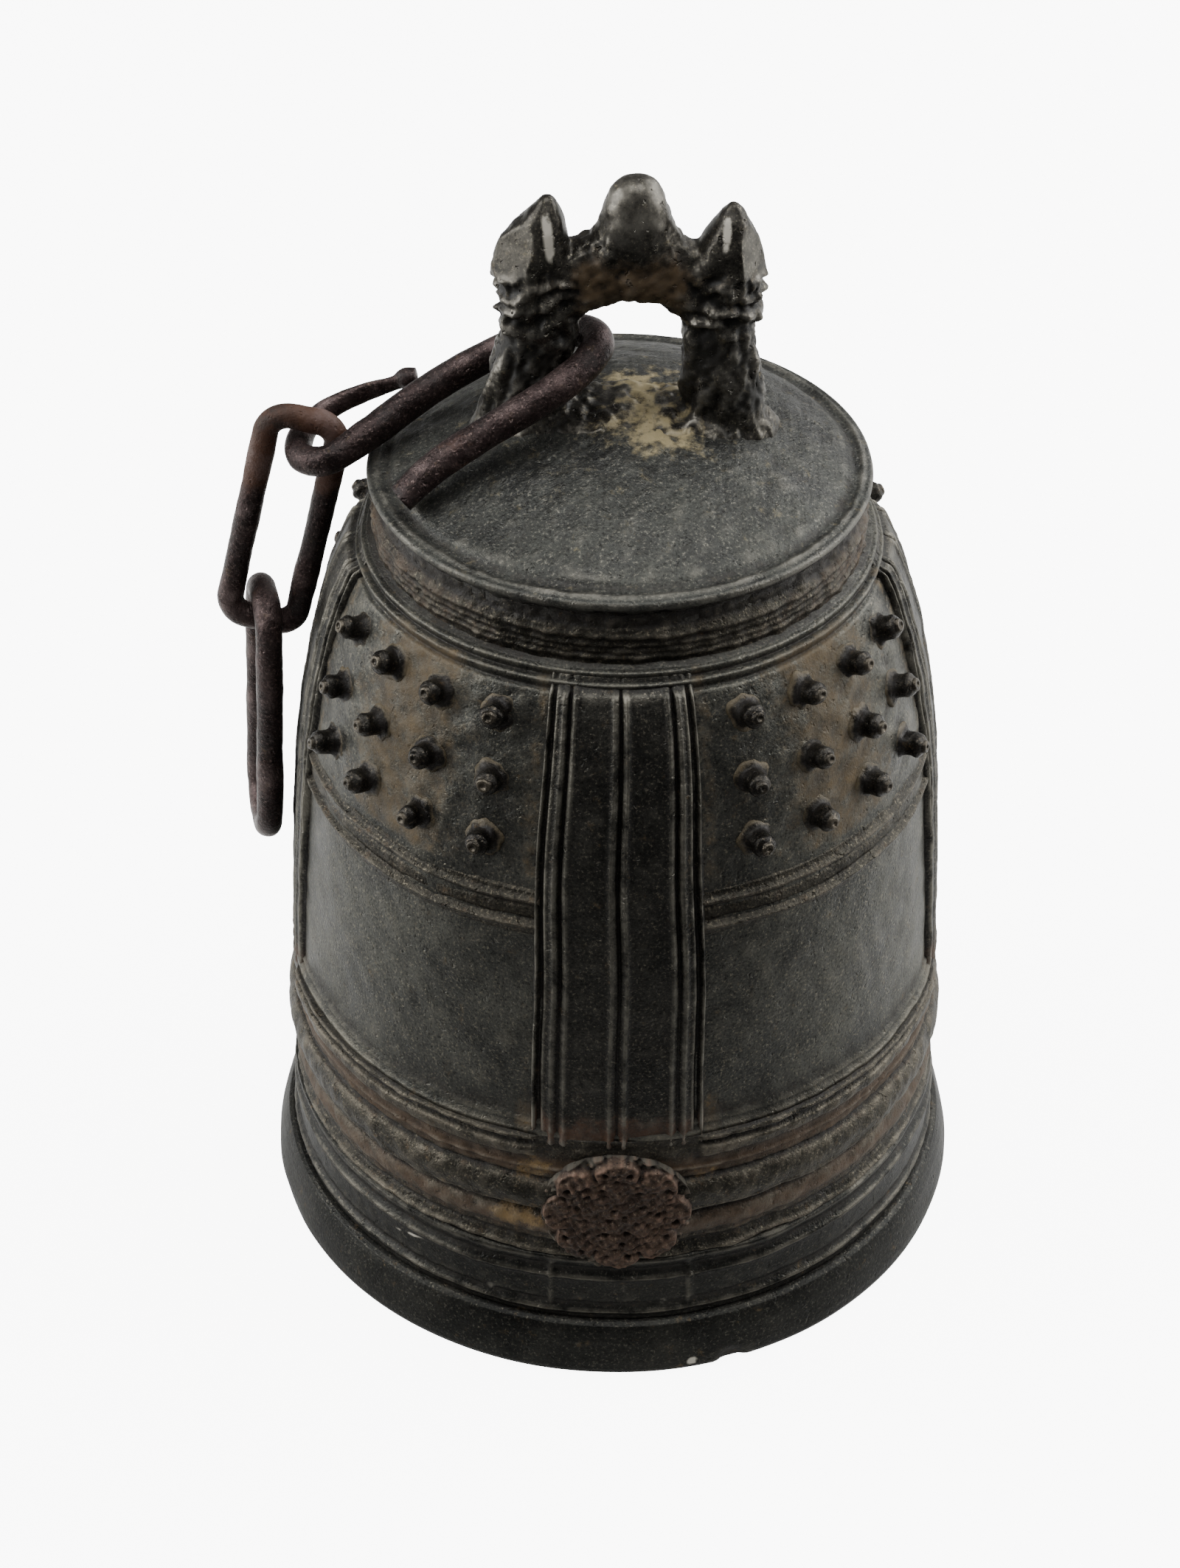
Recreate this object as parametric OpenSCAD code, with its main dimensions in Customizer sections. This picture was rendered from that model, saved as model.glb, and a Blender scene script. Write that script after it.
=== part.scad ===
// Small cast bronze temple bell with a dragon handle and a three-link iron hanging chain.
// The mouth stands on z = 0, the bell's axis is Z and its front medallion faces -Y.

/* [Bell wall] */
// Radius of the mouth at its widest edge
mouth_r = 54.2; // [53.6:0.2:55]
// Height of the thick lip at the mouth
lip_h = 9; // [8:0.5:10]
// Height where the middle band begins
belt_z0 = 21; // [20:0.5:22]
// Height where the middle band ends and the panels begin
belt_z1 = 44.5; // [44:0.5:46]
// Wall thickness above the lip
wall_t = 4; // [3.5:0.25:4.5]

/* [Crown] */
// Radius of the crown's overhanging rim
crown_r = 35; // [34.8:0.1:35.2]
// Height of the rim's upper edge
crown_z = 127.2; // [127:0.1:127.4]
// Rise of the dome above the rim
dome_h = 9; // [8.5:0.25:9.5]

/* [Relief] */
// How far the four upright bands stand out of the wall
band_rise = 1.7; // [1.2:0.1:1.9]
// Angle that each upright band covers, in degrees
band_angle = 28; // [24:1:30]
// Length of a boss outside the wall
boss_len = 4.1; // [3:0.1:4.5]
// Radius of a boss
boss_r = 1.5; // [1.2:0.1:1.8]
// Radius of a striking medallion over its petals
medallion_r = 11.3; // [10:0.1:11.5]

/* [Chain] */
// Radius of the hook's iron rod
hook_r = 2.3; // [2:0.1:2.3]
// Radius of the middle link's wire
link_r = 1.9; // [1.6:0.1:1.9]
// Centreline length of the middle link
link_len = 34.6; // [32:0.2:35]
// Centreline width of the middle link
link_w = 10; // [9.8:0.1:10.4]
// Radius of the end link's wire
end_r = 2.05; // [1.8:0.05:2.1]
// Centreline length of the end link
end_len = 40.8; // [38:0.2:41]
// Centreline width of the end link
end_w = 11.8; // [11.4:0.1:12]

/* [Hidden] */
$fn = 64;

root = 0.3;                        // how deep a raised feature is rooted in what carries it
neck_r = 33.4;                     // outer radius of the neck under the crown
neck_z = 117.5;                    // height where the shoulder meets the neck
rim_t = 2.4;                       // thickness of the crown's rim
rim_w = 2;                         // width of the bevelled rim
waist_r = 48.3;                    // wall radius just above the middle band
wall_steps = 24;                   // straight stretches along the wall's curve
leg_depth = 8.8;                   // handle thickness from front to back
hook_pivot = [-3.1, 0, 145.7];     // middle of the hook's U bend, inside the handle
link_pivot = [-44.5, 4.5, 126.9];  // middle of the curl that carries the middle link
link_lean = 13.8;                  // the middle link leans out over the bell's shoulder
end_lean = 3.3;                    // the end link leans slightly outwards
end_yaw = 12;                      // and it is turned a little from square
chain_gap = 0.3;                   // air between two links where they bear
end_shift = 0.5;                   // the end link sits a little inboard on the middle link's bar

// The wall's outer curve is a cubic Bezier curve in radius and height.
CURVE = [[waist_r, belt_z1], [47.2, 72], [44.4, 105], [35.2, neck_z]];
function mix4(p, t) = p[0] * pow(1 - t, 3) + p[1] * 3 * t * pow(1 - t, 2)
                    + p[2] * 3 * t * t * (1 - t) + p[3] * pow(t, 3);
function slope4(p, t) = (p[1] - p[0]) * 3 * pow(1 - t, 2)
                      + (p[2] - p[1]) * 6 * t * (1 - t) + (p[3] - p[2]) * 3 * t * t;
function t_at(z, lo = 0, hi = 1, n = 16) =
    n == 0 ? (lo + hi) / 2
    : mix4(CURVE, (lo + hi) / 2)[1] < z ? t_at(z, (lo + hi) / 2, hi, n - 1)
    : t_at(z, lo, (lo + hi) / 2, n - 1);
function curve(grow = 0, t0 = 0, t1 = 1) =
    [for (i = [0 : wall_steps]) mix4(CURVE, t0 + (t1 - t0) * i / wall_steps) + [grow, 0]];
function reversed(p) = [for (i = [len(p) - 1 : -1 : 0]) p[i]];

// A strip of relief that follows the wall's curve, turned through an angle about Z.
module relief(middle, angle, from_r, to_r, t0 = 0, t1 = 1)
{
    rotate([0, 0, middle - angle / 2])
        rotate_extrude(angle = angle)
            polygon(concat(curve(from_r, t0, t1), reversed(curve(to_r, t0, t1))));
}

// ---- the bell's wall, from the mouth up ----

module lip_ring()
{
    color("#2f2b27")
        rotate_extrude()
            polygon([[46.2, 0], [mouth_r - 1, 0], [mouth_r, 1], [mouth_r - 0.6, 4],
                     [52.6, lip_h - 1], [52, lip_h], [46.2, lip_h]]);
}

module lower_skirt()
{
    color("#38322b")
        rotate_extrude()
            polygon([[46.2, lip_h], [50.8, lip_h], [50.1, belt_z0], [45.8, belt_z0]]);
}

// A belt with a broad round rib between finer lines.
module mid_band()
{
    belt_r = 49.4;
    color("#3b332a")
        rotate_extrude() {
            polygon([[45.8, belt_z0], [50.1, belt_z0], [50.4, 22.5], [belt_r, 24],
                     [belt_r, belt_z1 - 1], [waist_r, belt_z1], [waist_r - wall_t, belt_z1]]);
            intersection() {
                translate([belt_r - 3.2, 31.5])
                    circle(r = 4.3);
                translate([belt_r - 1, belt_z0])
                    square([4, belt_z1 - belt_z0]);
            }
            for (z = [26.6, 37.6, 42.8])
                translate([belt_r - 0.1, z])
                    circle(r = 0.7);
        }
}

module waist_shell()
{
    inner_neck = neck_r - wall_t + 1;
    color("#35302b")
        rotate_extrude()
            polygon(concat(curve(), [[neck_r, neck_z], [neck_r, crown_z - rim_t],
                                     [inner_neck, crown_z - rim_t], [inner_neck, neck_z - 5]],
                           reversed(curve(-wall_t, 0, 0.86))));
}

module shoulder_rings()
{
    color("#4a4035")
        rotate_extrude() {
            translate([neck_r - root, neck_z])
                square([0.9, crown_z - rim_t - neck_z]);
            for (z = [118.6, 120.6, 122.6])
                translate([neck_r + 0.5, z])
                    circle(r = 0.8);
        }
}

// The crown is a thin dome with a bevelled rim that overhangs the neck.
module crown_plate()
{
    dome_r = crown_r - rim_w;
    steps = 16;
    color("#3f3d3a")
        rotate_extrude()
            polygon(concat([[0, crown_z - rim_t], [crown_r - 0.6, crown_z - rim_t],
                            [crown_r, crown_z - 1.6], [crown_r, crown_z - 0.3],
                            [crown_r - 0.3, crown_z]],
                           [for (i = [steps : -1 : 0])
                               [dome_r * i / steps, crown_z + 0.2 + dome_h * (1 - pow(i / steps, 2))]]));
}

// ---- relief on the wall ----

module upright_band(middle)
{
    color("#332e29")
        relief(middle, band_angle, -root, band_rise, 0, 0.985);
}

module front_band() upright_band(-90);
module right_band() upright_band(0);
module back_band() upright_band(90);
module left_band() upright_band(180);

// Each upright band carries two border ribs and a middle rib.
module upright_ribs()
{
    rib_angle = 1.1;
    color("#4b4238")
        for (middle = [0 : 90 : 270], side = [-13, 0, 13])
            relief(middle + side, rib_angle, band_rise - root, band_rise + 0.6, 0, 0.97);
}

// Two ribs cross each panel below the bosses.
module panel_ribs()
{
    panel = 90 - band_angle - 0.6;
    color("#4a3c2d")
        for (middle = [45 : 90 : 315], z = [80, 84.6])
            relief(middle, panel, -root, 0.8, t_at(z - 0.5), t_at(z + 0.5));
}

// A boss is a round stud with a collar at its root and a rounded tip.
module boss()
{
    translate([0, 0, -root]) {
        cylinder(r = boss_r, h = root + boss_len - boss_r);
        cylinder(r = boss_r + 0.5, h = root + 0.4);
    }
    translate([0, 0, boss_len - boss_r])
        sphere(r = boss_r);
}

// Twelve bosses stand in three rows of four, square to the wall.
module boss_panel(middle)
{
    spacing = 13.6;
    color("#26221e")
        for (col = [-1.5 : 1 : 1.5], z = [92.6, 101.6, 110.4]) {
            t = t_at(z);
            on_wall = mix4(CURVE, t);
            along = slope4(CURVE, t);
            rotate([0, 0, middle + col * spacing])
                translate([on_wall[0], 0, on_wall[1]])
                    rotate([0, 90 - atan2(-along[0], along[1]), 0])
                        boss();
        }
}

module front_right_bosses() boss_panel(-45);
module back_right_bosses() boss_panel(45);
module back_left_bosses() boss_panel(135);
module front_left_bosses() boss_panel(225);

// The striking spot is an eight-petalled medallion curved to the belt.
module medallion(turn)
{
    petal_r = 3.8;
    centre_z = 31;
    color("#4d342a")
        rotate([0, 0, turn])
            intersection() {
                translate([0, -40, centre_z])
                    rotate([90, 0, 0])
                        linear_extrude(20) {
                            circle(r = medallion_r - petal_r + 1);
                            for (a = [0 : 45 : 315])
                                rotate(a + 22.5)
                                    translate([medallion_r - petal_r, 0])
                                        circle(r = petal_r);
                        }
                difference() {
                    cylinder(r = 52, h = 60);
                    translate([0, 0, -1])
                        cylinder(r = 48.6, h = 62);
                }
            }
}

module front_medallion() medallion(0);
module back_medallion() medallion(180);

// ---- the dragon handle ----

module upright_plate(depth)
{
    translate([0, depth / 2, 0])
        rotate([90, 0, 0])
            linear_extrude(depth)
                children();
}

// A low rough mound on the crown carries both feet.
module handle_seat()
{
    color("#6b6048")
        hull()
            for (x = [-13, 14])
                translate([x, 0, crown_z + 4])
                    cylinder(r1 = 8.4, r2 = 5.4, h = 5.6, $fn = 32);
}

module leg(foot_x, foot_r, neck_x, neck_half)
{
    hull() {
        translate([foot_x, 0, crown_z + 7])
            scale([foot_r / 5, 1, 1])
                cylinder(r = 4.7, h = 1, $fn = 32);
        translate([neck_x, 0, 149])
            scale([neck_half / 5, 1, 1])
                cylinder(r = 4.4, h = 1, $fn = 32);
    }
}

module left_leg()
{
    color("#2b2825")
        leg(-13.2, 6.4, -10.7, 5.1);
}

module right_leg()
{
    color("#2b2825")
        leg(14.2, 5.8, 12.9, 5);
}

// The bridge joins the two legs over the opening.
module handle_bridge()
{
    color("#3c352b")
        upright_plate(7.6)
            difference() {
                polygon([[-15, 149], [17, 149], [17, 157], [8.6, 161.2], [5.4, 162.4],
                         [-2.2, 162.8], [-4.7, 163], [-15, 157]]);
                translate([1.2, 142.4])
                    circle(r = 10.4);
            }
}

// Each head looks outwards, with a flat brow that rises to a point.
module left_dragon_head()
{
    color("#3a3833")
        upright_plate(leg_depth)
            polygon([[-15.8, 150.2], [-16.8, 153], [-16.2, 155.4], [-17.3, 158.2], [-16.8, 160.6],
                     [-12.4, 165.6], [-9.9, 168], [-8, 166.4], [-6.2, 160], [-7.4, 150.2]]);
}

module right_dragon_head()
{
    color("#3a3833")
        upright_plate(leg_depth)
            polygon([[17.6, 150.2], [18.7, 152.6], [18.6, 156], [19.3, 158.4], [18.5, 161.6],
                     [16.9, 164.4], [14.5, 167], [12.3, 165.6], [10.4, 160], [9.6, 150.2]]);
}

module jewel()
{
    jewel_r = 4.1;
    color("#33302c") {
        translate([1.7, 0, 161])
            cylinder(r = jewel_r, h = 170.6 - jewel_r - 161);
        translate([1.7, 0, 170.6 - jewel_r])
            sphere(r = jewel_r);
    }
}

// ---- the hanging chain ----

// The hook's centreline, each point with the rod's half width and half height there.
HOOK = [[[-29.4, -14.9, 130.6], [2.5, 1.9]],
        [[-23.8, -12.4, 134.9], [2.3, 2.2]],
        [[-16, -9.4, 138.9], [hook_r, hook_r]],
        [[-9.8, -7.5, 142.2], [hook_r, hook_r]],
        [[-5, -4.4, 144.8], [hook_r, hook_r]],
        [hook_pivot, [hook_r, hook_r]],
        [[-5, 4.6, 145], [hook_r, hook_r]],
        [[-10, 7.6, 143], [hook_r, hook_r]],
        [[-17, 7.6, 140], [hook_r, hook_r]],
        [[-24.6, 6.8, 135.8], [hook_r, hook_r]],
        [[-30.6, 4.3, 132.4], [hook_r, hook_r]],
        [[-35.2, 1.3, 130.2], [hook_r, hook_r]],
        [[-40, -0.9, 128], [2.2, 2.2]],
        [[-43.6, 0.9, 126.9], [2.1, 2.1]],
        [[-44.6, 4.5, 126.9], [2, 2]],
        [[-43.4, 8.2, 127.9], [1.7, 1.8]],
        [[-39.8, 10.6, 129.6], [1.2, 1.7]],
        [[-35.4, 12, 130.9], [0.8, 1.5]],
        [[-31.6, 12.2, 132.2], [0.8, 1.2]],
        [[-30, 12.2, 133], [1.6, 1.6]],
        [[-28.4, 12.1, 133.3], [1.4, 1.4]]];

// A Catmull-Rom spline passes through every listed point.
function spline(a, b, c, d, u) =
    0.5 * (2 * b + (c - a) * u + (2 * a - 5 * b + 4 * c - d) * u * u
           + (3 * b - a - 3 * c + d) * u * u * u);
function clip(i, n) = min(max(i, 0), n - 1);
function along_route(pts, per) =
    concat([for (i = [0 : len(pts) - 2], k = [0 : per - 1])
               spline(pts[clip(i - 1, len(pts))], pts[i], pts[i + 1],
                      pts[clip(i + 2, len(pts))], k / per)],
           [pts[len(pts) - 1]]);
function unit(v) = v / norm(v);

// An oval rod swept along a route, with its width kept level.
module rod(route, sides, per)
{
    c = along_route([for (p = route) p[0]], per);
    r = along_route([for (p = route) p[1]], per);
    n = len(c);
    points = [for (i = [0 : n - 1])
                  let (t = unit(c[clip(i + 1, n)] - c[clip(i - 1, n)]),
                       level = unit(cross(t, [0, 0, 1])),
                       up = cross(level, t))
                      for (j = [0 : sides - 1])
                          c[i] + level * r[i][0] * cos(360 * j / sides)
                               + up * r[i][1] * sin(360 * j / sides)];
    walls = [for (i = [0 : n - 2], j = [0 : sides - 1])
                let (k = (j + 1) % sides)
                    [i * sides + j, i * sides + k, (i + 1) * sides + k, (i + 1) * sides + j]];
    first = [for (j = [sides - 1 : -1 : 0]) j];
    last = [for (j = [0 : sides - 1]) (n - 1) * sides + j];
    polyhedron(points = points, faces = concat([first], walls, [last]), convexity = 8);
}

module hook()
{
    color("#4a3236")
        rod(HOOK, 12, 3);
}

// A closed link of round wire: straight bars joined by quarter-round corners.
module link(length, width, corner, wire)
{
    straight = length - 2 * corner;
    across = width - 2 * corner;
    for (turn = [0, 180])
        rotate([0, turn, 0]) {
            translate([width / 2, 0, -straight / 2])
                cylinder(r = wire, h = straight);
            if (across > 0)
                translate([-across / 2, 0, length / 2])
                    rotate([0, 90, 0])
                        cylinder(r = wire, h = across);
            for (side = [0, 1])
                mirror([side, 0, 0])
                    translate([across / 2, 0, straight / 2])
                        rotate([90, 0, 0])
                            rotate_extrude(angle = 90)
                                translate([corner, 0])
                                    circle(r = wire);
        }
}

// The middle link hangs in the curl and leans on the air beside the shoulder.
module middle_link()
{
    drop = link_len / 2 - (hook_r - 0.2 + link_r + chain_gap);
    color("#5a3a30")
        translate(link_pivot)
            rotate([0, link_lean, 0])
                translate([0, 0, -drop])
                    link(link_len, link_w, 3.2, link_r);
}

// The end link hangs square to the middle link, beside the bell's wall.
module end_link()
{
    bear = link_r + end_r + chain_gap;
    below = link_len - (hook_r - 0.2 + link_r + chain_gap);
    bottom = link_pivot - below * [sin(link_lean), 0, cos(link_lean)]
             + end_shift * [cos(link_lean), 0, -sin(link_lean)];
    color("#42302f")
        translate(bottom)
            rotate([0, end_lean, 0])
                rotate([0, 0, 90 + end_yaw])
                    translate([0, 0, bear + 0.15 - end_len / 2])
                        link(end_len, end_w, end_w / 2 - 0.4, end_r);
}

lip_ring();
lower_skirt();
mid_band();
waist_shell();
shoulder_rings();
crown_plate();
front_band();
right_band();
back_band();
left_band();
upright_ribs();
panel_ribs();
front_right_bosses();
back_right_bosses();
back_left_bosses();
front_left_bosses();
front_medallion();
back_medallion();
handle_seat();
left_leg();
right_leg();
handle_bridge();
left_dragon_head();
right_dragon_head();
jewel();
hook();
middle_link();
end_link();
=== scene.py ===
"""A small cast bronze temple bell with a dragon handle, standing on its mouth, with an open iron
hook and two iron links hanging from the handle. All sizes here are in millimetres until put()
writes them into a mesh, and azimuths are degrees from the front (-Y) towards +X. Heights count
from the mouth's rim. Rows named LINES, EDGE, RIBS or RINGS hold (middle, rise, width) for each
raised line or groove.
A piece's vertices carry marks from 0 to 1, which its material reads: recess and proud say how far
a point lies below or above its neighbourhood, and stain, earth and bright where it is stained,
caked with earth or worn to bare metal. The recess mark is also set in full where shade is painted,
under the crown's rim and above the neck rings, and over the handle's legs to make them near-black.
The lighter colour of proud points is partly a painted highlight, and the bright mark is also a
painted highlight on each dragon head."""

import bpy
import numpy as np
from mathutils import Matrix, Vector


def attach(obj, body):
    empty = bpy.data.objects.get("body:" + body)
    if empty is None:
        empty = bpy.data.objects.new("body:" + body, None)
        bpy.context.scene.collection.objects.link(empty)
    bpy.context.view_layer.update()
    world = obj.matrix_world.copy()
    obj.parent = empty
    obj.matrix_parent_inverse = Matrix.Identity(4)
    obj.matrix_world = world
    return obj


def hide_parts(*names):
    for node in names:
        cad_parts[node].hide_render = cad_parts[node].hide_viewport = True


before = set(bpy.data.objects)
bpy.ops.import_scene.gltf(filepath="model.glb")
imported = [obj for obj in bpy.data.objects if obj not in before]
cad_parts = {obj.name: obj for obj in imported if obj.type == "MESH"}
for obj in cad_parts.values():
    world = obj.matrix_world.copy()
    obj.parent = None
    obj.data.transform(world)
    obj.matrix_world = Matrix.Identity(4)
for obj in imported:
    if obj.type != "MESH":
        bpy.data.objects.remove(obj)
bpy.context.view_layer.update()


# ---- the waist ---------------------------------------------------------------------------
# The thin wall between the belt and the crown, cast in one piece with all the rest of the bell.
# Leaded bronze with a black patina, brown and rough where the studs stand, smoother below them.

FOOT_R = 48.3
BELT_TOP = 44.5
NECK_R = 33.4
NECK_LOW = 117.5
NECK_TOP = 124.8
WALL = 4.0
STUDS_LOW = 87.5
STUDS_TOP = 114.0
WAIST_LINES = [(116.85, 0.5, 0.4), (116.15, -0.35, 0.22), (115.5, 0.5, 0.4), (114.6, -0.45, 0.35),
               (46.3, 0.45, 0.4)]
PLAIN_COLUMNS = 480


def wall_curve(grow, start, stop, count):
    """The wall's outer line from its foot (0) to the neck (1): a cubic Bezier curve in radius
    and height, grown sideways."""
    t = np.linspace(start, stop, count)[:, None]
    a, b, c, d = np.array([[FOOT_R, BELT_TOP], [47.2, 72], [44.4, 105], [35.2, NECK_LOW]])
    curve = a * (1 - t) ** 3 + b * 3 * t * (1 - t) ** 2 + c * 3 * t * t * (1 - t) + d * t ** 3
    return curve + [grow, 0]


def waves(points, size, seed, count=16):
    """Smooth lumps: a sum of sine waves in random directions, all about one size long."""
    draw = np.random.default_rng(seed)
    way = draw.normal(size=(count, 3))
    way /= np.linalg.norm(way, axis=1)[:, None]
    length = size * draw.uniform(0.7, 1.5, count)
    phase = draw.uniform(0, 2 * np.pi, count)
    return np.sin(2 * np.pi * (points @ way.T) / length + phase).sum(-1) / np.sqrt(count / 2)


def ridge(x, middle, width):
    """A rounded ridge: e to the minus square of the distance from its middle, over its width."""
    return np.exp(-((x - middle) / width) ** 2)


def rise(x, edge, soft):
    """A soft step from 0 to 1 where x passes the edge."""
    return 0.5 + 0.5 * np.tanh((x - edge) / soft)


def lines(height, rows):
    """Lines along a surface: a ridge, or a groove where its rise is below zero, for each
    (middle, rise, width)."""
    return sum(up * ridge(height, middle, width) for middle, up, width in rows)


def whole_turn(columns):
    """A row of azimuths in degrees, all the way round."""
    return np.linspace(-180, 180, columns, endpoint=False)[None, :]


def around(radius, azimuth, height):
    """Points at a radius and height, turned about Z from the front towards +X."""
    a = np.radians(azimuth)
    radius, a, height = np.broadcast_arrays(radius, a, height)
    return np.stack([radius * np.sin(a), -radius * np.cos(a), height], -1)


def evened(height, passes):
    """The height with each value replaced, again and again, by the mean of itself and its
    neighbours, first along one way of the grid and then along the other."""
    for _ in range(passes):
        height = (height + np.roll(height, 1, 0) + np.roll(height, -1, 0)) / 3
        height = (height + np.roll(height, 1, 1) + np.roll(height, -1, 1)) / 3
    return height


def hollows(height, passes=14, depth=0.25):
    """How deep (recess) and how proud each point lies beside its neighbourhood, from 0 to 1."""
    beside = height - evened(height, passes)
    return np.clip(-beside / depth, 0, 1), np.clip(beside / depth, 0, 1)


def skin(points, closed=False):
    """Faces over rows of closed loops. A closed skin joins the last row to the first one, and
    an open one is shut at both ends by a fan round a middle point."""
    rows, cols = points.shape[:2]
    index = np.arange(rows * cols).reshape(rows, cols)
    if closed:
        index = np.vstack([index, index[:1]])
    right = np.roll(index, -1, axis=1)
    quads = np.stack([index[:-1], right[:-1], right[1:], index[1:]], -1).reshape(-1, 4).tolist()
    verts = points.reshape(-1, 3)
    if closed:
        return verts, quads
    n = rows * cols
    first = np.stack([right[0], index[0], np.full(cols, n)], -1).tolist()
    last = np.stack([index[-1], right[-1], np.full(cols, n + 1)], -1).tolist()
    return np.vstack([verts, points[0].mean(0), points[-1].mean(0)]), quads + first + last


def joined(parts):
    """Several (vertices, faces) pairs as one pair."""
    verts, faces, start = [], [], 0
    for part_verts, part_faces in parts:
        verts.append(part_verts)
        faces += [[start + v for v in face] for face in part_faces]
        start += len(part_verts)
    return np.vstack(verts), faces


def put(name, verts, faces, material, slot, body, nodes, **marks):
    """Makes a piece from points in millimetres, with one float attribute for each mark."""
    mesh = bpy.data.meshes.new(name)
    mesh.from_pydata((np.asarray(verts) * 0.001).tolist(), [], faces)
    mesh.polygons.foreach_set("use_smooth", np.ones(len(mesh.polygons), bool))
    for mark, values in marks.items():
        layer = mesh.attributes.new(mark, "FLOAT", "POINT")
        full = np.zeros(len(verts), np.float32)
        full[:np.size(values)] = np.ravel(values)
        layer.data.foreach_set("value", full)
    mesh.materials.append(material)
    piece = bpy.data.objects.new(name, mesh)
    bpy.context.scene.collection.objects.link(piece)
    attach(piece, body)
    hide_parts(*nodes)
    return piece


def outward(curve):
    """The unit normals of an outline that runs upwards: its slope after a quarter turn."""
    slope = np.gradient(curve, axis=0)
    normal = np.stack([slope[:, 1], -slope[:, 0]], -1)
    return normal / np.linalg.norm(normal, axis=1)[:, None]


def raised(curve, relief, azimuth):
    """An outline turned about Z, each point moved out along its normal by the relief."""
    normal = outward(curve)
    return around(curve[:, :1] + relief * normal[:, :1], azimuth,
                  curve[:, 1:] + relief * normal[:, 1:])


def turned_wall(outer, inner, columns, shape):
    """A wall of revolution: the outer profile from the bottom up, raised along its normal by
    shape(azimuth, height, points), then the inner profile back down, a little uneven."""
    azimuth = whole_turn(columns)
    plain = around(outer[:, :1], azimuth, outer[:, 1:])
    relief = shape(azimuth, outer[:, 1:] + 0 * azimuth, plain)
    face = raised(outer, relief, azimuth)
    back = around(inner[:, :1], azimuth, inner[:, 1:])
    back = back + 0.0024 * waves(back, 9, 5)[..., None] * back * [1, 1, 0]
    recess, proud = hollows(relief)
    verts, faces = skin(np.concatenate([face, back]), closed=True)
    return verts, faces, recess, proud, relief


def node_group(name, inputs, outputs):
    """An empty shader node group with named sockets, each given as (name, kind, value)."""
    group = bpy.data.node_groups.new(name, "ShaderNodeTree")
    for label, kind, value in inputs:
        socket = group.interface.new_socket(label, in_out="INPUT", socket_type=kind)
        socket.default_value = value
    for label, kind in outputs:
        group.interface.new_socket(label, in_out="OUTPUT", socket_type=kind)
    return group, group.nodes.new("NodeGroupInput"), group.nodes.new("NodeGroupOutput")


def noise(tree, scale, detail, roughness=0.6):
    """A noise texture on Object coordinates, with its scale as a number or a socket."""
    where = tree.nodes.new("ShaderNodeTexCoord")
    texture = tree.nodes.new("ShaderNodeTexNoise")
    texture.inputs["Detail"].default_value = detail
    texture.inputs["Roughness"].default_value = roughness
    tree.links.new(where.outputs["Object"], texture.inputs["Vector"])
    if isinstance(scale, (int, float)):
        texture.inputs["Scale"].default_value = scale
    else:
        tree.links.new(scale, texture.inputs["Scale"])
    return texture.outputs["Fac"]


def between(tree, value, low, high):
    """The value stretched so that low becomes 0 and high becomes 1, and kept in that range."""
    node = tree.nodes.new("ShaderNodeMapRange")
    node.interpolation_type = "SMOOTHSTEP"
    node.inputs["From Min"].default_value = low
    node.inputs["From Max"].default_value = high
    tree.links.new(value, node.inputs["Value"])
    return node.outputs["Result"]


def worked(tree, operation, first, second):
    """One Math node, whose inputs are numbers or sockets."""
    node = tree.nodes.new("ShaderNodeMath")
    node.operation = operation
    node.use_clamp = operation == "ADD"
    for slot, value in zip(node.inputs, (first, second)):
        if isinstance(value, (int, float)):
            slot.default_value = value
        else:
            tree.links.new(value, slot)
    return node.outputs[0]


def blended(tree, mask, below, above):
    """Two colours, each a socket or an RGBA value, mixed by a mask."""
    node = tree.nodes.new("ShaderNodeMix")
    node.data_type = "RGBA"
    tree.links.new(mask, node.inputs["Factor"])
    for slot, value in zip([s for s in node.inputs if s.type == "RGBA"], (below, above)):
        if isinstance(value, tuple):
            slot.default_value = value
        else:
            tree.links.new(value, slot)
    return [s for s in node.outputs if s.type == "RGBA"][0]


def marked(tree, name):
    """The value of a mesh attribute."""
    node = tree.nodes.new("ShaderNodeAttribute")
    node.attribute_name = name
    return node.outputs["Fac"]


# Patina: two colours of oxide in large clouds, under fine specks of soot and light flecks.
patina, into, out = node_group(
    "Patina", [("Dark", "NodeSocketColor", (0.02, 0.02, 0.02, 1)),
               ("Middle", "NodeSocketColor", (0.05, 0.05, 0.04, 1)),
               ("Light", "NodeSocketColor", (0.1, 0.1, 0.08, 1)),
               ("Cloud Scale", "NodeSocketFloat", 60.0),
               ("Speck Scale", "NodeSocketFloat", 900.0)],
    [("Color", "NodeSocketColor"), ("Cloud", "NodeSocketFloat")])
cloud = between(patina, noise(patina, into.outputs["Cloud Scale"], 10, 0.72), 0.34, 0.66)
dust = noise(patina, into.outputs["Speck Scale"], 3, 0.7)
under = blended(patina, cloud, into.outputs["Dark"], into.outputs["Middle"])
soot = worked(patina, "SUBTRACT", 1.0, between(patina, dust, 0.3, 0.48))
sooty = blended(patina, worked(patina, "MULTIPLY", soot, 0.8), under, (0.008, 0.007, 0.006, 1))
fleck = between(patina, dust, 0.54, 0.72)
patina.links.new(blended(patina, worked(patina, "MULTIPLY", fleck, 0.8), sooty,
                         into.outputs["Light"]), out.inputs["Color"])
patina.links.new(cloud, out.inputs["Cloud"])
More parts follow.
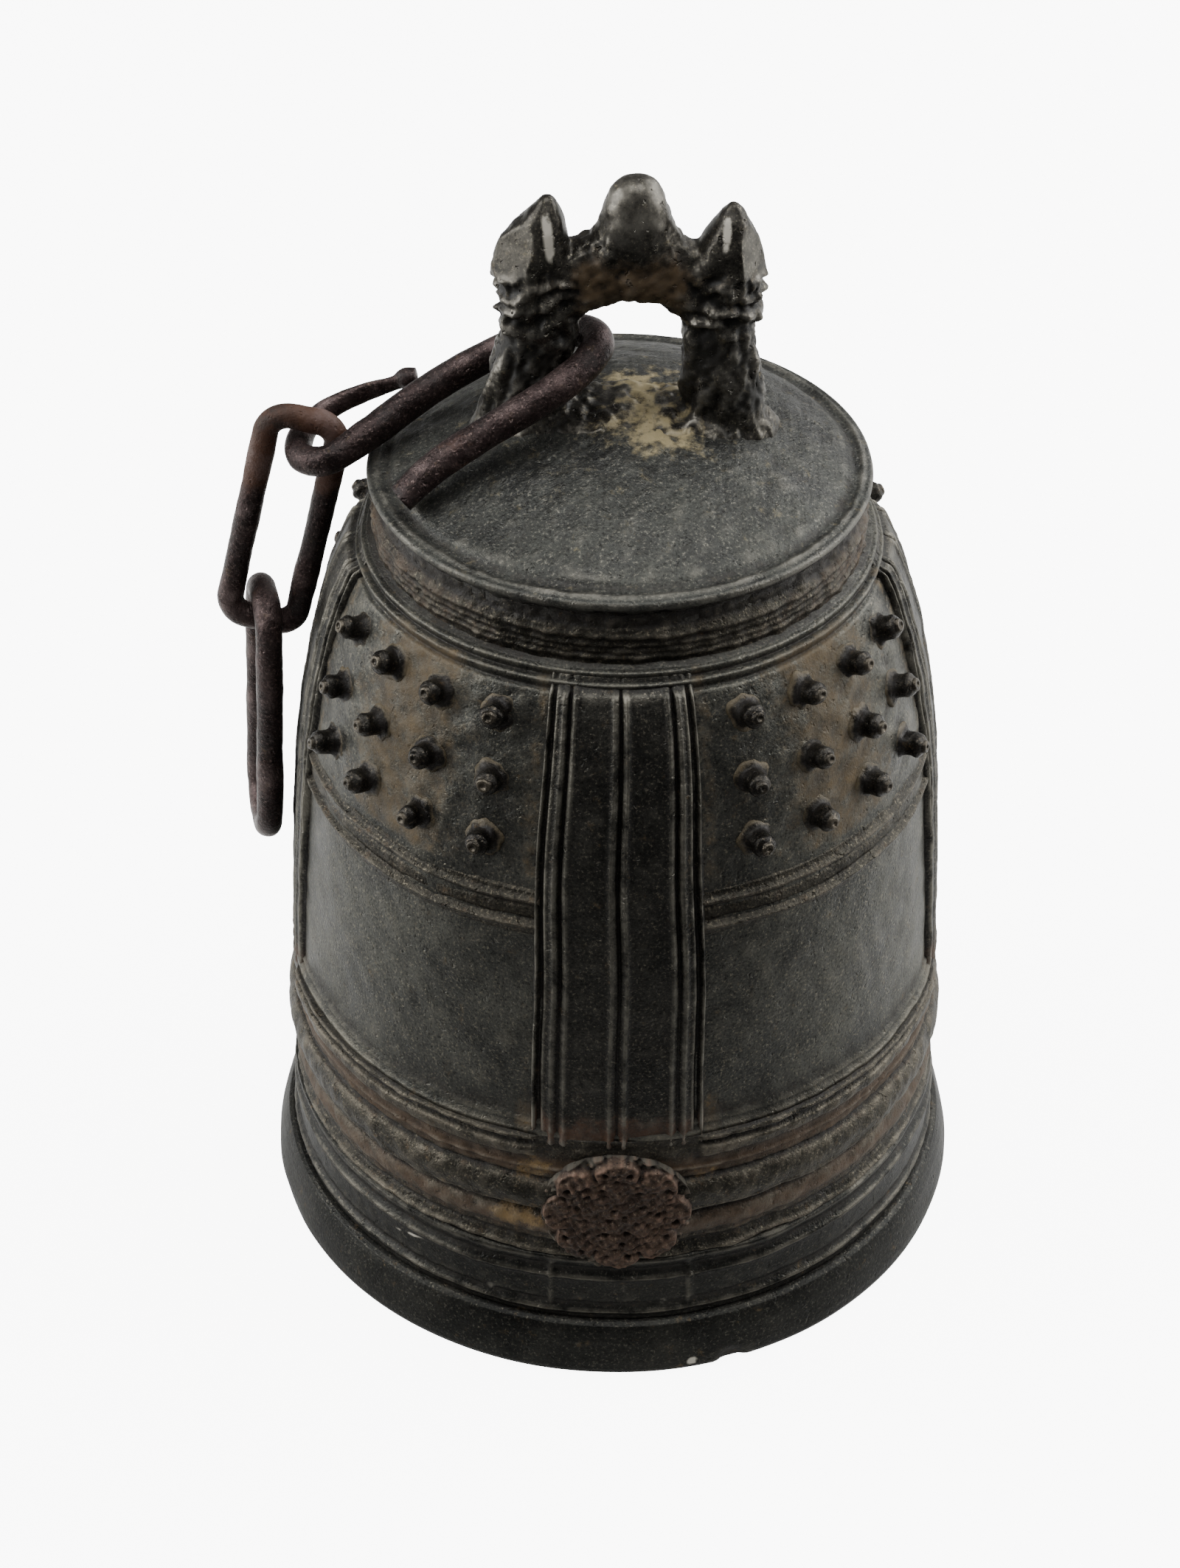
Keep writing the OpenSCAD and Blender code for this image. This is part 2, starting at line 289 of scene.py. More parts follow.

# Dirt and painted shade: the dirt colour goes where the recess mark is set, which is dust in the
# hollows, painted shade under the crown's rim and above the neck rings, and the near-black of the
# handle's legs. Stains and caked earth go where they are marked, with all their edges broken up by
# the same noise.
dirt, into, out = node_group(
    "Dirt and Painted Shade", [("Hollow Amount", "NodeSocketFloat", 1.0),
                     ("Spread Scale", "NodeSocketFloat", 420.0)],
    [("Dirt", "NodeSocketFloat"), ("Stain", "NodeSocketFloat"), ("Earth", "NodeSocketFloat")])
spread = noise(dirt, into.outputs["Spread Scale"], 6, 0.72)
hollow_and_shade = worked(dirt, "MULTIPLY", marked(dirt, "recess"), into.outputs["Hollow Amount"])
dirt.links.new(worked(dirt, "MULTIPLY", hollow_and_shade, between(dirt, spread, 0.28, 0.6)),
               out.inputs["Dirt"])
stain = worked(dirt, "ADD", worked(dirt, "SUBTRACT", marked(dirt, "stain"), 0.55), spread)
dirt.links.new(between(dirt, stain, 0.35, 0.75), out.inputs["Stain"])
torn = worked(dirt, "MULTIPLY", worked(dirt, "SUBTRACT", spread, 0.5), 3.0)
clod = worked(dirt, "ADD", marked(dirt, "earth"), torn)
dirt.links.new(between(dirt, clod, 0.25, 1.25), out.inputs["Earth"])

# Worn edges and painted highlights: ridges and points that handling has kept a little brighter,
# their lighter colour partly a painted highlight. The bright mark is bare metal on the skirt and
# lip, and a painted highlight on each dragon head.
edge_wear_and_highlight, into, out = node_group(
    "Worn Edges and Highlights", [("Amount", "NodeSocketFloat", 1.0), ("Break Scale", "NodeSocketFloat", 300.0)],
    [("Rubbed", "NodeSocketFloat"), ("Bright", "NodeSocketFloat")])
broken = between(edge_wear_and_highlight, noise(edge_wear_and_highlight, into.outputs["Break Scale"], 4, 0.6), 0.3, 0.65)
worn = worked(edge_wear_and_highlight, "MULTIPLY", marked(edge_wear_and_highlight, "proud"), into.outputs["Amount"])
edge_wear_and_highlight.links.new(worked(edge_wear_and_highlight, "MULTIPLY", worn, broken), out.inputs["Rubbed"])
edge_wear_and_highlight.links.new(between(edge_wear_and_highlight, worked(edge_wear_and_highlight, "MULTIPLY", marked(edge_wear_and_highlight, "bright"),
                                        worked(edge_wear_and_highlight, "ADD", broken, 0.35)), 0.3, 0.8),
                 out.inputs["Bright"])

# Cast skin: the fine grain of the mould's sand, and small pits.
grain, into, out = node_group(
    "Cast Skin", [("Grain Scale", "NodeSocketFloat", 1500.0), ("Pit Scale", "NodeSocketFloat", 420.0),
                  ("Pit Depth", "NodeSocketFloat", 0.5)],
    [("Height", "NodeSocketFloat"), ("Pits", "NodeSocketFloat")])
fine = noise(grain, into.outputs["Grain Scale"], 3, 0.7)
pits = between(grain, noise(grain, into.outputs["Pit Scale"], 2, 0.5), 0.24, 0.38)
grain.links.new(worked(grain, "ADD", worked(grain, "MULTIPLY", fine, 0.6),
                       worked(grain, "MULTIPLY", pits, into.outputs["Pit Depth"])),
                out.inputs["Height"])
grain.links.new(pits, out.inputs["Pits"])


def grouped(tree, group, **values):
    """A node group placed in a tree, with underscores in the names standing for spaces."""
    node = tree.nodes.new("ShaderNodeGroup")
    node.node_tree = group
    for name, value in values.items():
        node.inputs[name.replace("_", " ")].default_value = value
    return node


def metal(name, dark, middle, light, dirt_and_shade_colour, stain_colour, wear_and_highlight_colour,
          earth_colour=(0.2, 0.13, 0.05), cloud=75.0, hollow_and_shade=1.0, wear_and_highlight=0.8, pit_scale=900.0,
          pit_depth=0.5, bump=0.3, metallic=0.8, rough_low=0.33, rough_high=0.52):
    """Old patinated metal: clouds of oxide, stains, dirt in the hollows and painted shade, both where
    the recess mark is set, caked earth, and ridges worn lighter, partly as a painted highlight.
    Whatever lies on the metal, shows it bare or is painted as a highlight makes it matter and less
    metallic. bump is the depth of the grain in millimetres."""
    material = bpy.data.materials.new(name)
    material.use_nodes = True
    tree = material.node_tree
    surface = tree.nodes["Principled BSDF"]
    oxide = grouped(tree, patina, Dark=dark + (1,), Middle=middle + (1,), Light=light + (1,),
                    Cloud_Scale=cloud, Speck_Scale=2300.0)
    soil_and_shade = grouped(tree, dirt, Hollow_Amount=hollow_and_shade)
    edges = grouped(tree, edge_wear_and_highlight, Amount=wear_and_highlight)
    cast = grouped(tree, grain, Grain_Scale=2000.0, Pit_Scale=pit_scale, Pit_Depth=pit_depth)
    colour = blended(tree, soil_and_shade.outputs["Stain"], oxide.outputs["Color"], stain_colour + (1,))
    colour = blended(tree, soil_and_shade.outputs["Dirt"], colour, dirt_and_shade_colour + (1,))
    colour = blended(tree, soil_and_shade.outputs["Earth"], colour, earth_colour + (1,))
    colour = blended(tree, edges.outputs["Rubbed"], colour, wear_and_highlight_colour + (1,))
    colour = blended(tree, edges.outputs["Bright"], colour, (0.5, 0.47, 0.4, 1))
    tree.links.new(colour, surface.inputs["Base Color"])
    matt = worked(tree, "ADD", worked(tree, "ADD", soil_and_shade.outputs["Stain"], soil_and_shade.outputs["Dirt"]),
                  worked(tree, "ADD", soil_and_shade.outputs["Earth"], edges.outputs["Bright"]))
    rough = tree.nodes.new("ShaderNodeMapRange")
    rough.inputs["To Min"].default_value = rough_low
    rough.inputs["To Max"].default_value = rough_high
    tree.links.new(oxide.outputs["Cloud"], rough.inputs["Value"])
    tree.links.new(worked(tree, "ADD", rough.outputs["Result"],
                          worked(tree, "MULTIPLY", matt, 0.22)), surface.inputs["Roughness"])
    tree.links.new(worked(tree, "MULTIPLY", worked(tree, "SUBTRACT", 1.0, matt), metallic),
                   surface.inputs["Metallic"])
    surface.inputs["Specular IOR Level"].default_value = 0.4
    bumped = tree.nodes.new("ShaderNodeBump")
    bumped.inputs["Strength"].default_value = 1.0
    bumped.inputs["Distance"].default_value = bump * 0.001
    tree.links.new(cast.outputs["Height"], bumped.inputs["Height"])
    tree.links.new(bumped.outputs["Normal"], surface.inputs["Normal"])
    return material


def waist_relief(azimuth, height, points):
    """Slow hand-made waves, a rough ground between the studs, lines below the neck and above
    the foot, and a step up to the belt. It fades out where the neck begins."""
    ground = rise(height, STUDS_LOW, 0.8) * (1 - rise(height, STUDS_TOP, 0.8))
    relief = 0.10 * waves(points, 17, 11) + 0.03 * waves(points, 3.5, 12)
    relief = relief + ground * (0.05 * waves(points, 4.2, 13) + 0.035 * waves(points, 1.7, 14))
    relief = relief + lines(height, WAIST_LINES) + 0.95 * (1 - rise(height, BELT_TOP + 1, 0.3))
    return relief * (1 - rise(height, NECK_LOW - 0.15, 0.12))


outer = np.vstack([wall_curve(0, 0, 0.9, 120), wall_curve(0, 0.902, 1, 52),
                   [[NECK_R, NECK_LOW + 0.1], [NECK_R, NECK_TOP]]])
inner_neck = NECK_R - WALL + 1
inner = np.vstack([[[inner_neck, NECK_TOP], [inner_neck, NECK_LOW - 5]],
                   wall_curve(-WALL, 0, 0.86, 16)[::-1]])
waist_verts, waist_faces, recess, proud, relief = turned_wall(outer, inner, PLAIN_COLUMNS,
                                                              waist_relief)
row_height = outer[:, 1:] + 0 * relief
from_band = np.abs((whole_turn(PLAIN_COLUMNS) + 45) % 90 - 45)
ground = rise(row_height, STUDS_LOW - 1, 1.0) * (1 - rise(row_height, STUDS_TOP + 2, 1.0))
stain = ground * (0.14 + 0.52 * ridge(from_band, 43, 17)) + 0.35 * ridge(from_band, 16, 2.5)
stain = stain + lines(row_height, [(47, 0.25, 4), (116, 0.15, 1.5)])
bronze_wall = metal("bronze_wall", dark=(0.045, 0.046, 0.042), middle=(0.098, 0.098, 0.084),
                    light=(0.25, 0.225, 0.17), dirt_and_shade_colour=(0.012, 0.009, 0.006),
                    stain_colour=(0.1, 0.072, 0.036), wear_and_highlight_colour=(0.24, 0.22, 0.175),
                    bump=0.2, wear_and_highlight=0.5)
put("waist_wall", waist_verts, waist_faces, bronze_wall, "bronze_wall", "bell",
    ["waist_shell"], recess=recess, proud=proud, stain=stain)


# ---- the belt, the skirt and the lip -----------------------------------------------------
# The thick lower part of the same casting: a belt of rounded ribs and fine lines, a plain
# skirt below it and a heavy lip, smoothed in the wax with a strickle board.

BELT_R = 49.4
BELT_LOW = 21.0
SKIRT_IN_R = 45.8
MOUTH_R = 46.2
LIP_TOP = 9.0
BELT_COLUMNS = 620
BELT_RIBS = [(32.9, 1.35, 3.1), (27.3, 0.85, 2.1)]
BELT_EDGE = [(44.1, 0.65, 0.4), (43.1, -0.5, 0.35)]
BELT_LINES = [(38.4, 0.3, 0.3), (36.2, -0.45, 0.3), (31.0, 0.2, 0.25), (29.6, -0.45, 0.3),
              (23.4, -0.4, 0.4), (21.6, 0.75, 0.6)]
SKIRT_LINES = [(20.6, 0.3, 0.6), (18.9, -0.3, 0.5), (17.4, 0.55, 0.55), (11.9, -0.25, 0.5),
               (10.7, 0.5, 0.5)]
UPRIGHT_LINES = [(-11, 0.4, 0.45), (12.3, 0.4, 0.45)]


def belt_relief(azimuth, height, points):
    """Two rounded ribs, fine lines, and at the top a step and a line that stop at the bands.
    Each wavers a little as it runs round."""
    z = height + 0.1 * waves(points, 26, 21) + 0.04 * waves(points, 7, 22)
    ribs = sum(up * np.clip(1 - ((z - middle) / half) ** 2, 0, 1) ** 0.7
               for middle, up, half in BELT_RIBS)
    edge = lines(z, BELT_EDGE) + 0.75 * (rise(z, 40.7, 0.25) - rise(z, 42.6, 0.2))
    from_band = np.abs((azimuth + 45) % 90 - 45)
    edge = edge * (0.15 + 0.85 * rise(from_band, 13.9, 0.35))
    uneven = 0.07 * waves(points, 7, 23) + 0.05 * waves(points, 2.0, 24)
    return edge + ribs + lines(z, BELT_LINES) + uneven


def skirt_relief(azimuth, height, points):
    """Raised lines round the skirt, and two upright ones below each medallion."""
    z = height + 0.1 * waves(points, 30, 31)
    from_medallion = (azimuth + 90) % 180 - 90
    upright = lines(from_medallion, UPRIGHT_LINES) * rise(z, 11.5, 0.3) * (1 - rise(z, 20, 0.3))
    uneven = 0.08 * waves(points, 13, 32) + 0.025 * waves(points, 2.5, 33)
    return lines(z, SKIRT_LINES) + upright + uneven


def lip_relief(azimuth, height, points):
    """A smooth surface with a few knocks along the edge."""
    knocks = -0.5 * np.clip(waves(points, 11, 41) - 1.9, 0, 1) * (1 - rise(height, 4, 1.5))
    return 0.07 * waves(points, 15, 42) * rise(height, 0.6, 0.3) + knocks


def patches(across, up, rows):
    """Soft oval patches: one ridge across times one ridge up for each (amount, middle across,
    half width, middle up, half height)."""
    return sum(amount * ridge(across, side, wide) * ridge(up, high, tall)
               for amount, side, wide, high, tall in rows)


def finer(outline, count):
    """An outline's points, filled in along straight lines to a larger number of them."""
    steps = np.linspace(0, len(outline) - 1, count)
    return np.stack([np.interp(steps, np.arange(len(outline)), part) for part in outline.T], -1)


belt_z = np.linspace(BELT_LOW, BELT_TOP, 118)
outer = np.stack([BELT_R + 0 * belt_z, belt_z], -1)
inner = np.array([[FOOT_R - WALL, BELT_TOP], [45.0, 32.0], [SKIRT_IN_R, BELT_LOW]])
belt_verts, belt_faces, recess, proud, relief = turned_wall(outer, inner, BELT_COLUMNS,
                                                            belt_relief)
row_height = outer[:, 1:] + 0 * relief
stain = 0.33 + lines(row_height, [(38.5, 0.45, 2.4), (27, 0.4, 3)])
bronze_belt = metal("bronze_belt", dark=(0.021, 0.02, 0.016), middle=(0.056, 0.051, 0.04),
                    light=(0.2, 0.175, 0.125), dirt_and_shade_colour=(0.008, 0.006, 0.004),
                    stain_colour=(0.064, 0.039, 0.02), wear_and_highlight_colour=(0.22, 0.195, 0.15),
                    bump=0.28, wear_and_highlight=0.5)
row_turn = whole_turn(BELT_COLUMNS) + 0 * relief
places = around(50, row_turn, row_height)
row_turn = row_turn + 1.3 * waves(places, 6, 25) + 0.6 * waves(places, 2.4, 26)
clods = patches(row_turn, row_height, [(1.0, -14.2, 2.2, 38.3, 3.2), (1.0, -16.5, 3.2, 28.5, 3.0),
                                       (0.8, 14.0, 1.3, 37.0, 1.6)])
put("belt", belt_verts, belt_faces, bronze_belt, "bronze_wall", "bell", ["mid_band"],
    recess=recess, proud=proud, stain=stain, earth=clods)

outer = np.stack([np.linspace(50.8, 50.1, 54), np.linspace(LIP_TOP, BELT_LOW, 54)], -1)
inner = np.array([[SKIRT_IN_R, BELT_LOW], [MOUTH_R, LIP_TOP]])
skirt_verts, skirt_faces, recess, proud, _ = turned_wall(outer, inner, BELT_COLUMNS, skirt_relief)
bronze_lip = metal("bronze_lip", dark=(0.01, 0.0105, 0.0095), middle=(0.024, 0.024, 0.021),
                   light=(0.1, 0.093, 0.074), dirt_and_shade_colour=(0.01, 0.008, 0.005),
                   stain_colour=(0.032, 0.023, 0.014), wear_and_highlight_colour=(0.14, 0.13, 0.105),
                   bump=0.16, rough_low=0.3, rough_high=0.44)
skirt_turn = whole_turn(BELT_COLUMNS)
scrape = patches(skirt_turn, outer[:, 1:] - 0.19 * skirt_turn, [(0.9, -38, 3.6, 22.9, 0.35)])
rubs = patches(skirt_turn, outer[:, 1:], [(0.5, -21.6, 1.6, 12.2, 1.2), (0.5, 8, 1.1, 12.2, 1.2)])
put("skirt", skirt_verts, skirt_faces, bronze_lip, "bronze_wall", "bell", ["lower_skirt"],
    recess=recess, proud=proud, stain=0.3 * np.ones_like(recess), bright=scrape + rubs)

outer = finer(np.array([[MOUTH_R, 0.02], [50, 0.02], [53.0, 0.06], [53.8, 0.45], [54.02, 1.2],
                        [53.92, 2.6], [53.6, 4.2], [53.1, 6.2], [52.55, 7.7], [52.1, 8.6],
                        [51.4, LIP_TOP]]), 60)
inner = np.array([[MOUTH_R, LIP_TOP], [MOUTH_R, 4.0], [MOUTH_R, 0.6]])
lip_verts, lip_faces, recess, proud, _ = turned_wall(outer, inner, PLAIN_COLUMNS, lip_relief)
knock = patches(whole_turn(PLAIN_COLUMNS), outer[:, 1:], [(1.5, 12.4, 0.9, 1.9, 0.8)])
put("lip", lip_verts, lip_faces, bronze_lip, "bronze_wall", "bell", ["lip_ring"],
    recess=recess, proud=proud, stain=0.15 * np.ones_like(recess), bright=knock)


# ---- the upright bands -------------------------------------------------------------------
# Four raised straps that run from the shoulder to the belt, two of them ending at a medallion.
# Cast with the wall: a flat field with a pair of ribs at each side and a split rib down its middle.

BAND_HALF = 14.9
BAND_LOW = 40.8
SIDE_RIBS = [(14.15, 1.0, 0.45), (11.1, 0.32, 0.5), (8.9, 0.32, 0.5)]
MIDDLE_RIBS = [(-1.35, 0.34, 0.5), (1.1, 0.4, 0.5)]


def band_profile(across, points):
    """The strap's height over the wall, by the azimuth from its middle: a flat field and its
    ribs. The grooves beside them are cut deep near the shoulder and run out shallow below."""
    side = np.abs(across)
    deep = 0.28 + 0.67 * rise(points[..., 2], 74, 9)
    field = (0.75 + 0.4 * deep) * (1 - rise(side, 12.95, 0.22))
    grooves = deep * (ridge(side, 10.05, 0.3) + ridge(across, -0.1, 0.28))
    uneven = 0.05 * waves(points, 6, 51) + 0.015 * waves(points, 1.6, 52)
    return field + lines(side, SIDE_RIBS) + lines(across, MIDDLE_RIBS) - grooves + uneven


bronze_relief = metal("bronze_relief", dark=(0.022, 0.022, 0.02), middle=(0.052, 0.05, 0.043),
                      light=(0.2, 0.18, 0.14), dirt_and_shade_colour=(0.006, 0.005, 0.004),
                      stain_colour=(0.07, 0.035, 0.018), wear_and_highlight_colour=(0.23, 0.217, 0.18),
                      bump=0.24, wear_and_highlight=0.95)
foot_z = np.linspace(BAND_LOW, BELT_TOP, 16)[:-1]
foot_line = np.stack([FOOT_R + 0.1 + 0 * foot_z, foot_z], -1)
curve = np.vstack([foot_line, wall_curve(0, 0, 0.975, 208)])
across = np.linspace(-BAND_HALF, BAND_HALF, 200)[None, :]
straps = {"front_band": 0, "right_band": 90, "back_band": 180, "left_band": 270}
for strap, turn in straps.items():
    ends = 0.15 + 0.85 * rise(curve[:, 1:], 42.6, 0.7) - 0.8 * rise(curve[:, 1:], 114.7, 0.5)
    plain = around(curve[:, :1], across + turn, curve[:, 1:])
    wander = 0.18 * waves(plain * [0, 0, 1] + [turn, 0, 0], 24, 53)
    relief = band_profile(across + wander, plain) * ends
    edge = np.clip((BAND_HALF - np.abs(across)) / 0.25, 0, 1)
    face = raised(curve, relief * edge - 0.5 * (1 - edge), across + turn)
    back = around(curve[:, :1] - 1.2, np.array([[BAND_HALF, -BAND_HALF]]) + turn, curve[:, 1:])
    strap_verts, strap_faces = skin(np.concatenate([face, back], axis=1))
    recess, proud = hollows(relief, 12, 0.2)
    blank = np.zeros((len(curve), 2))
    stain = 0.08 + 0.6 * rise(-curve[:, 1:], -49.5, 2.2) + 0 * relief
    stain = stain + 0.35 * ridge(across, -13.3, 0.7) * (1 - rise(curve[:, 1:], 78, 6))
    nodes = [strap, "upright_ribs"] if strap == "front_band" else [strap]
    put(strap + "_strap", strap_verts, strap_faces, bronze_relief, "bronze_relief", "bell", nodes,
        recess=np.hstack([recess, blank]), proud=np.hstack([proud, blank]),
        stain=np.hstack([stain, blank]))


# ---- the ribs across the panels ----------------------------------------------------------
# A pair of thin raised lines closes off the field of studs above each plain panel. Cast in one
# with the wall.

PANEL_LOW = 78.6
PANEL_TOP = 86.4
PANEL_LINES = [(84.6, 0.6, 0.5), (83.6, -0.25, 0.35), (81.4, -0.25, 0.35), (80.4, 0.6, 0.5)]

rib_curve = wall_curve(0, 0, 1, 1200)
rib_curve = rib_curve[(rib_curve[:, 1] > PANEL_LOW) & (rib_curve[:, 1] < PANEL_TOP)]
out_r, out_z = outward(rib_curve)[::-1].T[:, None]
rib_r, rib_z = rib_curve[::-1].T[:, None]
half = 45 - BAND_HALF + 1.0
along = np.linspace(-half, half, 150)[:, None]
parts, recesses, prouds = [], [], []
for middle in (45, 135, 225, 315):
    plain = around(rib_r, along + middle, rib_z)
    z = rib_z + 0.12 * waves(plain, 19, 61)
    relief = 0.04 + lines(z, PANEL_LINES) + 0.14 * (rise(z, 79.4, 0.4) - rise(z, 85.6, 0.4))
    relief = relief + 0.04 * waves(plain, 3, 62)
    edge = np.clip(np.minimum(rib_z - PANEL_LOW, PANEL_TOP - rib_z) / 0.5, 0, 1)
    lifted = relief * edge - 0.4 * (1 - edge)
    face = around(rib_r + lifted * out_r, along + middle, rib_z + lifted * out_z)
    back = around(rib_r[:, [-1, 0]] - 1.2, along + middle, rib_z[:, [-1, 0]])
    parts.append(skin(np.concatenate([face, back], axis=1)))
    recess, proud = hollows(relief)
    pad = np.zeros((len(along), 2))
    recesses.append(np.append(np.hstack([recess, pad]), [0, 0]))
    prouds.append(np.append(np.hstack([proud, pad]), [0, 0]))
rib_verts, rib_faces = joined(parts)
put("panel_lines", rib_verts, rib_faces, bronze_belt, "bronze_relief", "bell", ["panel_ribs"],
    recess=np.concatenate(recesses), proud=np.concatenate(prouds),
    stain=np.full(len(rib_verts), 0.4))


# ---- the shoulder rings ------------------------------------------------------------------
# Fine rings round the neck under the crown's rim, turned in the wax and cast with the wall, and
# painted shade in the gap right under the rim.

RINGS = [(121.8, 0.45, 0.5), (120.5, 0.2, 0.3), (119.5, 0.16, 0.3), (118.6, 0.3, 0.4)]
RING_TOP = 122.9


def ring_relief(azimuth, height, points):
    """A rounded ring and three faint ones, each wavering slightly, under a rough groove."""
    z = height + 0.07 * waves(points, 21, 71)
    uneven = 0.1 * waves(points, 4, 72) + 0.07 * waves(points, 1.7, 73)
    return lines(z, RINGS) - 0.45 * rise(z, RING_TOP, 0.25) + uneven


outer = np.stack([np.linspace(34.35, 33.9, 64), np.linspace(NECK_LOW - 0.3, NECK_TOP, 64)], -1)
inner = np.array([[NECK_R - 0.3, NECK_TOP], [NECK_R - 0.3, NECK_LOW - 0.3]])
ring_verts, ring_faces, recess, proud, _ = turned_wall(outer, inner, PLAIN_COLUMNS, ring_relief)
sideways = np.abs(np.sin(np.radians(whole_turn(PLAIN_COLUMNS))))
# Painted shade: above RING_TOP, in the gap under the crown's rim, the recess mark is set in full, so
# that band takes the darkest colour.
put("neck_rings", ring_verts, ring_faces, bronze_belt, "bronze_relief", "bell",
    ["shoulder_rings"], recess=np.clip(recess + rise(outer[:, 1:], RING_TOP, 0.3), 0, 1),
    proud=0.7 * proud, stain=0.25 + 0.35 * sideways + 0 * recess)


# ---- the studs ---------------------------------------------------------------------------
# Twelve bosses in each of four panels, three rows of four, cast with the wall. Each is a short
# peg with a collar at its root and a shallow dimple in its tip, and no two lean quite alike.

STUD_ROWS = (92.6, 101.6, 110.4)
STUD_COLUMNS = (-1.5, -0.5, 0.5, 1.5)
STUD_STEP = 13.6
peg = finer(np.array([[2.9, -0.5], [2.6, 0.05], [2.2, 0.3], [1.86, 0.65], [1.74, 1.2],
                      [1.72, 2.0], [1.74, 2.6], [1.62, 3.0], [1.3, 3.35], [1.08, 3.5],
                      [1.0, 3.75], [0.82, 4.0], [0.5, 4.05], [0.2, 3.8]]), 40)
peg_r, peg_z = peg.T[:, :, None]
bronze_bosses = metal("bronze_bosses", dark=(0.014, 0.013, 0.012), middle=(0.036, 0.033, 0.028),
                      light=(0.13, 0.11, 0.08), dirt_and_shade_colour=(0.008, 0.006, 0.005),
                      stain_colour=(0.11, 0.088, 0.052), wear_and_highlight_colour=(0.2, 0.17, 0.125),
                      bump=0.2, rough_low=0.24, rough_high=0.42)
draw = np.random.default_rng(81)
turn_round = np.linspace(0, 2 * np.pi, 28, endpoint=False)
tip = np.clip((peg_z - 3.4) / 0.5, 0, 1) + 0 * turn_round
fields = {"front_right_bosses": 45, "back_right_bosses": 135, "back_left_bosses": 225,
          "front_left_bosses": 315}
wall_line = wall_curve(0, 0, 1, 2000)
wall_slope = np.gradient(wall_line, axis=0)
for field, middle in fields.items():
    parts, recesses, prouds, stains = [], [], [], []
    for column, row in [(column, row) for column in STUD_COLUMNS for row in STUD_ROWS]:
        level = np.searchsorted(wall_line[:, 1], row)
        a = np.radians(middle + column * STUD_STEP + draw.uniform(-0.5, 0.5))
        lean = np.arctan2(-wall_slope[level, 0], wall_slope[level, 1]) + draw.uniform(-0.09, 0.09)
        a_lean = a + draw.uniform(-0.08, 0.08)
        root = np.array([np.sin(a), -np.cos(a), 0]) * wall_line[level, 0]
        root = root + [0, 0, wall_line[level, 1]]
        axis = np.array([np.sin(a_lean) * np.cos(lean), -np.cos(a_lean) * np.cos(lean),
                         np.sin(lean)])
        first = np.cross(axis, [0, 0, 1.0])
        first /= np.linalg.norm(first)
        second = np.cross(axis, first)
        size = draw.uniform(0.93, 1.0)
        long = draw.uniform(0.9, 1.0)
        ring = np.outer(np.cos(turn_round), first) + np.outer(np.sin(turn_round), second)
        loops = root + ring * peg_r[..., None] * size + axis * peg_z[..., None] * long
        crust = 0.05 + 0.1 * (1 - rise(peg_z, 0.7, 0.2))
        crust = crust * waves(loops, 1.8, int(draw.integers(1000)))
        parts.append(skin(loops + crust[..., None] * ring))
        recesses.append(np.append(ridge(peg_z, 0.9, 0.5) + 0 * turn_round, [0, 1]))
        prouds.append(np.append(0.45 * tip, [0, 0]))
        stains.append(np.append(0.75 - np.clip(peg_z / 1.1, 0, 0.75) + 0 * turn_round, [0, 0]))
    stud_verts, stud_faces = joined(parts)
    put(field + "_studs", stud_verts, stud_faces, bronze_bosses, "bronze_bosses", "bell", [field],
        recess=np.concatenate(recesses), proud=np.concatenate(prouds),
        stain=np.concatenate(stains))


# ---- the medallions ----------------------------------------------------------------------
# The two striking spots on the belt, front and back: a round lotus with eight scalloped petals
# and a pod full of seed holes. Red-brown bronze, cast with the wall and worn soft.

MEDAL_R = 11.25
MEDAL_Z = 31.0
SEED_RINGS = [(0.76, 16, 0.2), (0.5, 13, 0.0), (0.36, 8, 0.4), (0.12, 3, 0.3)]
back_radius = np.array([[0.15], [1.0]])
radius = np.linspace(1.0, 0.0, 150)[:-4, None]
angle = np.linspace(0, 2 * np.pi, 264, endpoint=False)[None, :]


def petal_reach(angle):
    """How far the eight petals reach past their roots: a folded cosine, made blunter."""
    return 0.16 * np.abs(np.cos(4 * angle)) ** 0.7


def lotus(radius, angle, flat):
    """The height over the belt by radius (0 to 1) and angle: eight petals, each a low arch in
    section, round a flat pod with rings of seed holes, on a rough low skirt. SEED_RINGS gives
    each ring's radius, number of holes and turn."""
    lobe = np.abs(np.cos(4 * angle))
    gap = 0.65 * np.exp(-(lobe / 0.14) ** 2) * rise(radius, 0.68, 0.03)
    petal = 1.75 + 0.3 * np.sqrt(np.clip(1 - ((radius - 0.78) / 0.2) ** 2, 0, 1))
    height = np.where(radius > 0.62, petal - gap, 1.75 + 0.2 * (1 - radius))
    height = height - 0.14 * ridge(radius, 0.62, 0.03) - 0.1 * ridge(radius, 0.25, 0.025)
    for ring, count, shift in SEED_RINGS:
        step = 2 * np.pi / count
        off = ((angle + shift + step / 2) % step - step / 2) * ring * MEDAL_R
        hole = np.hypot(off, (radius - ring) * MEDAL_R)
        height = height - (0.38 + 0.3 * waves(flat, 5, 95)) * np.exp(-(hole / 0.5) ** 4)
    skirt = 0.75 + 0.22 * waves(flat, 3.2, 93) + 0.14 * waves(flat, 1.2, 94)
    inside = 1 - rise(radius, 0.79 + petal_reach(angle), 0.018)
    return skirt + (height - skirt) * inside


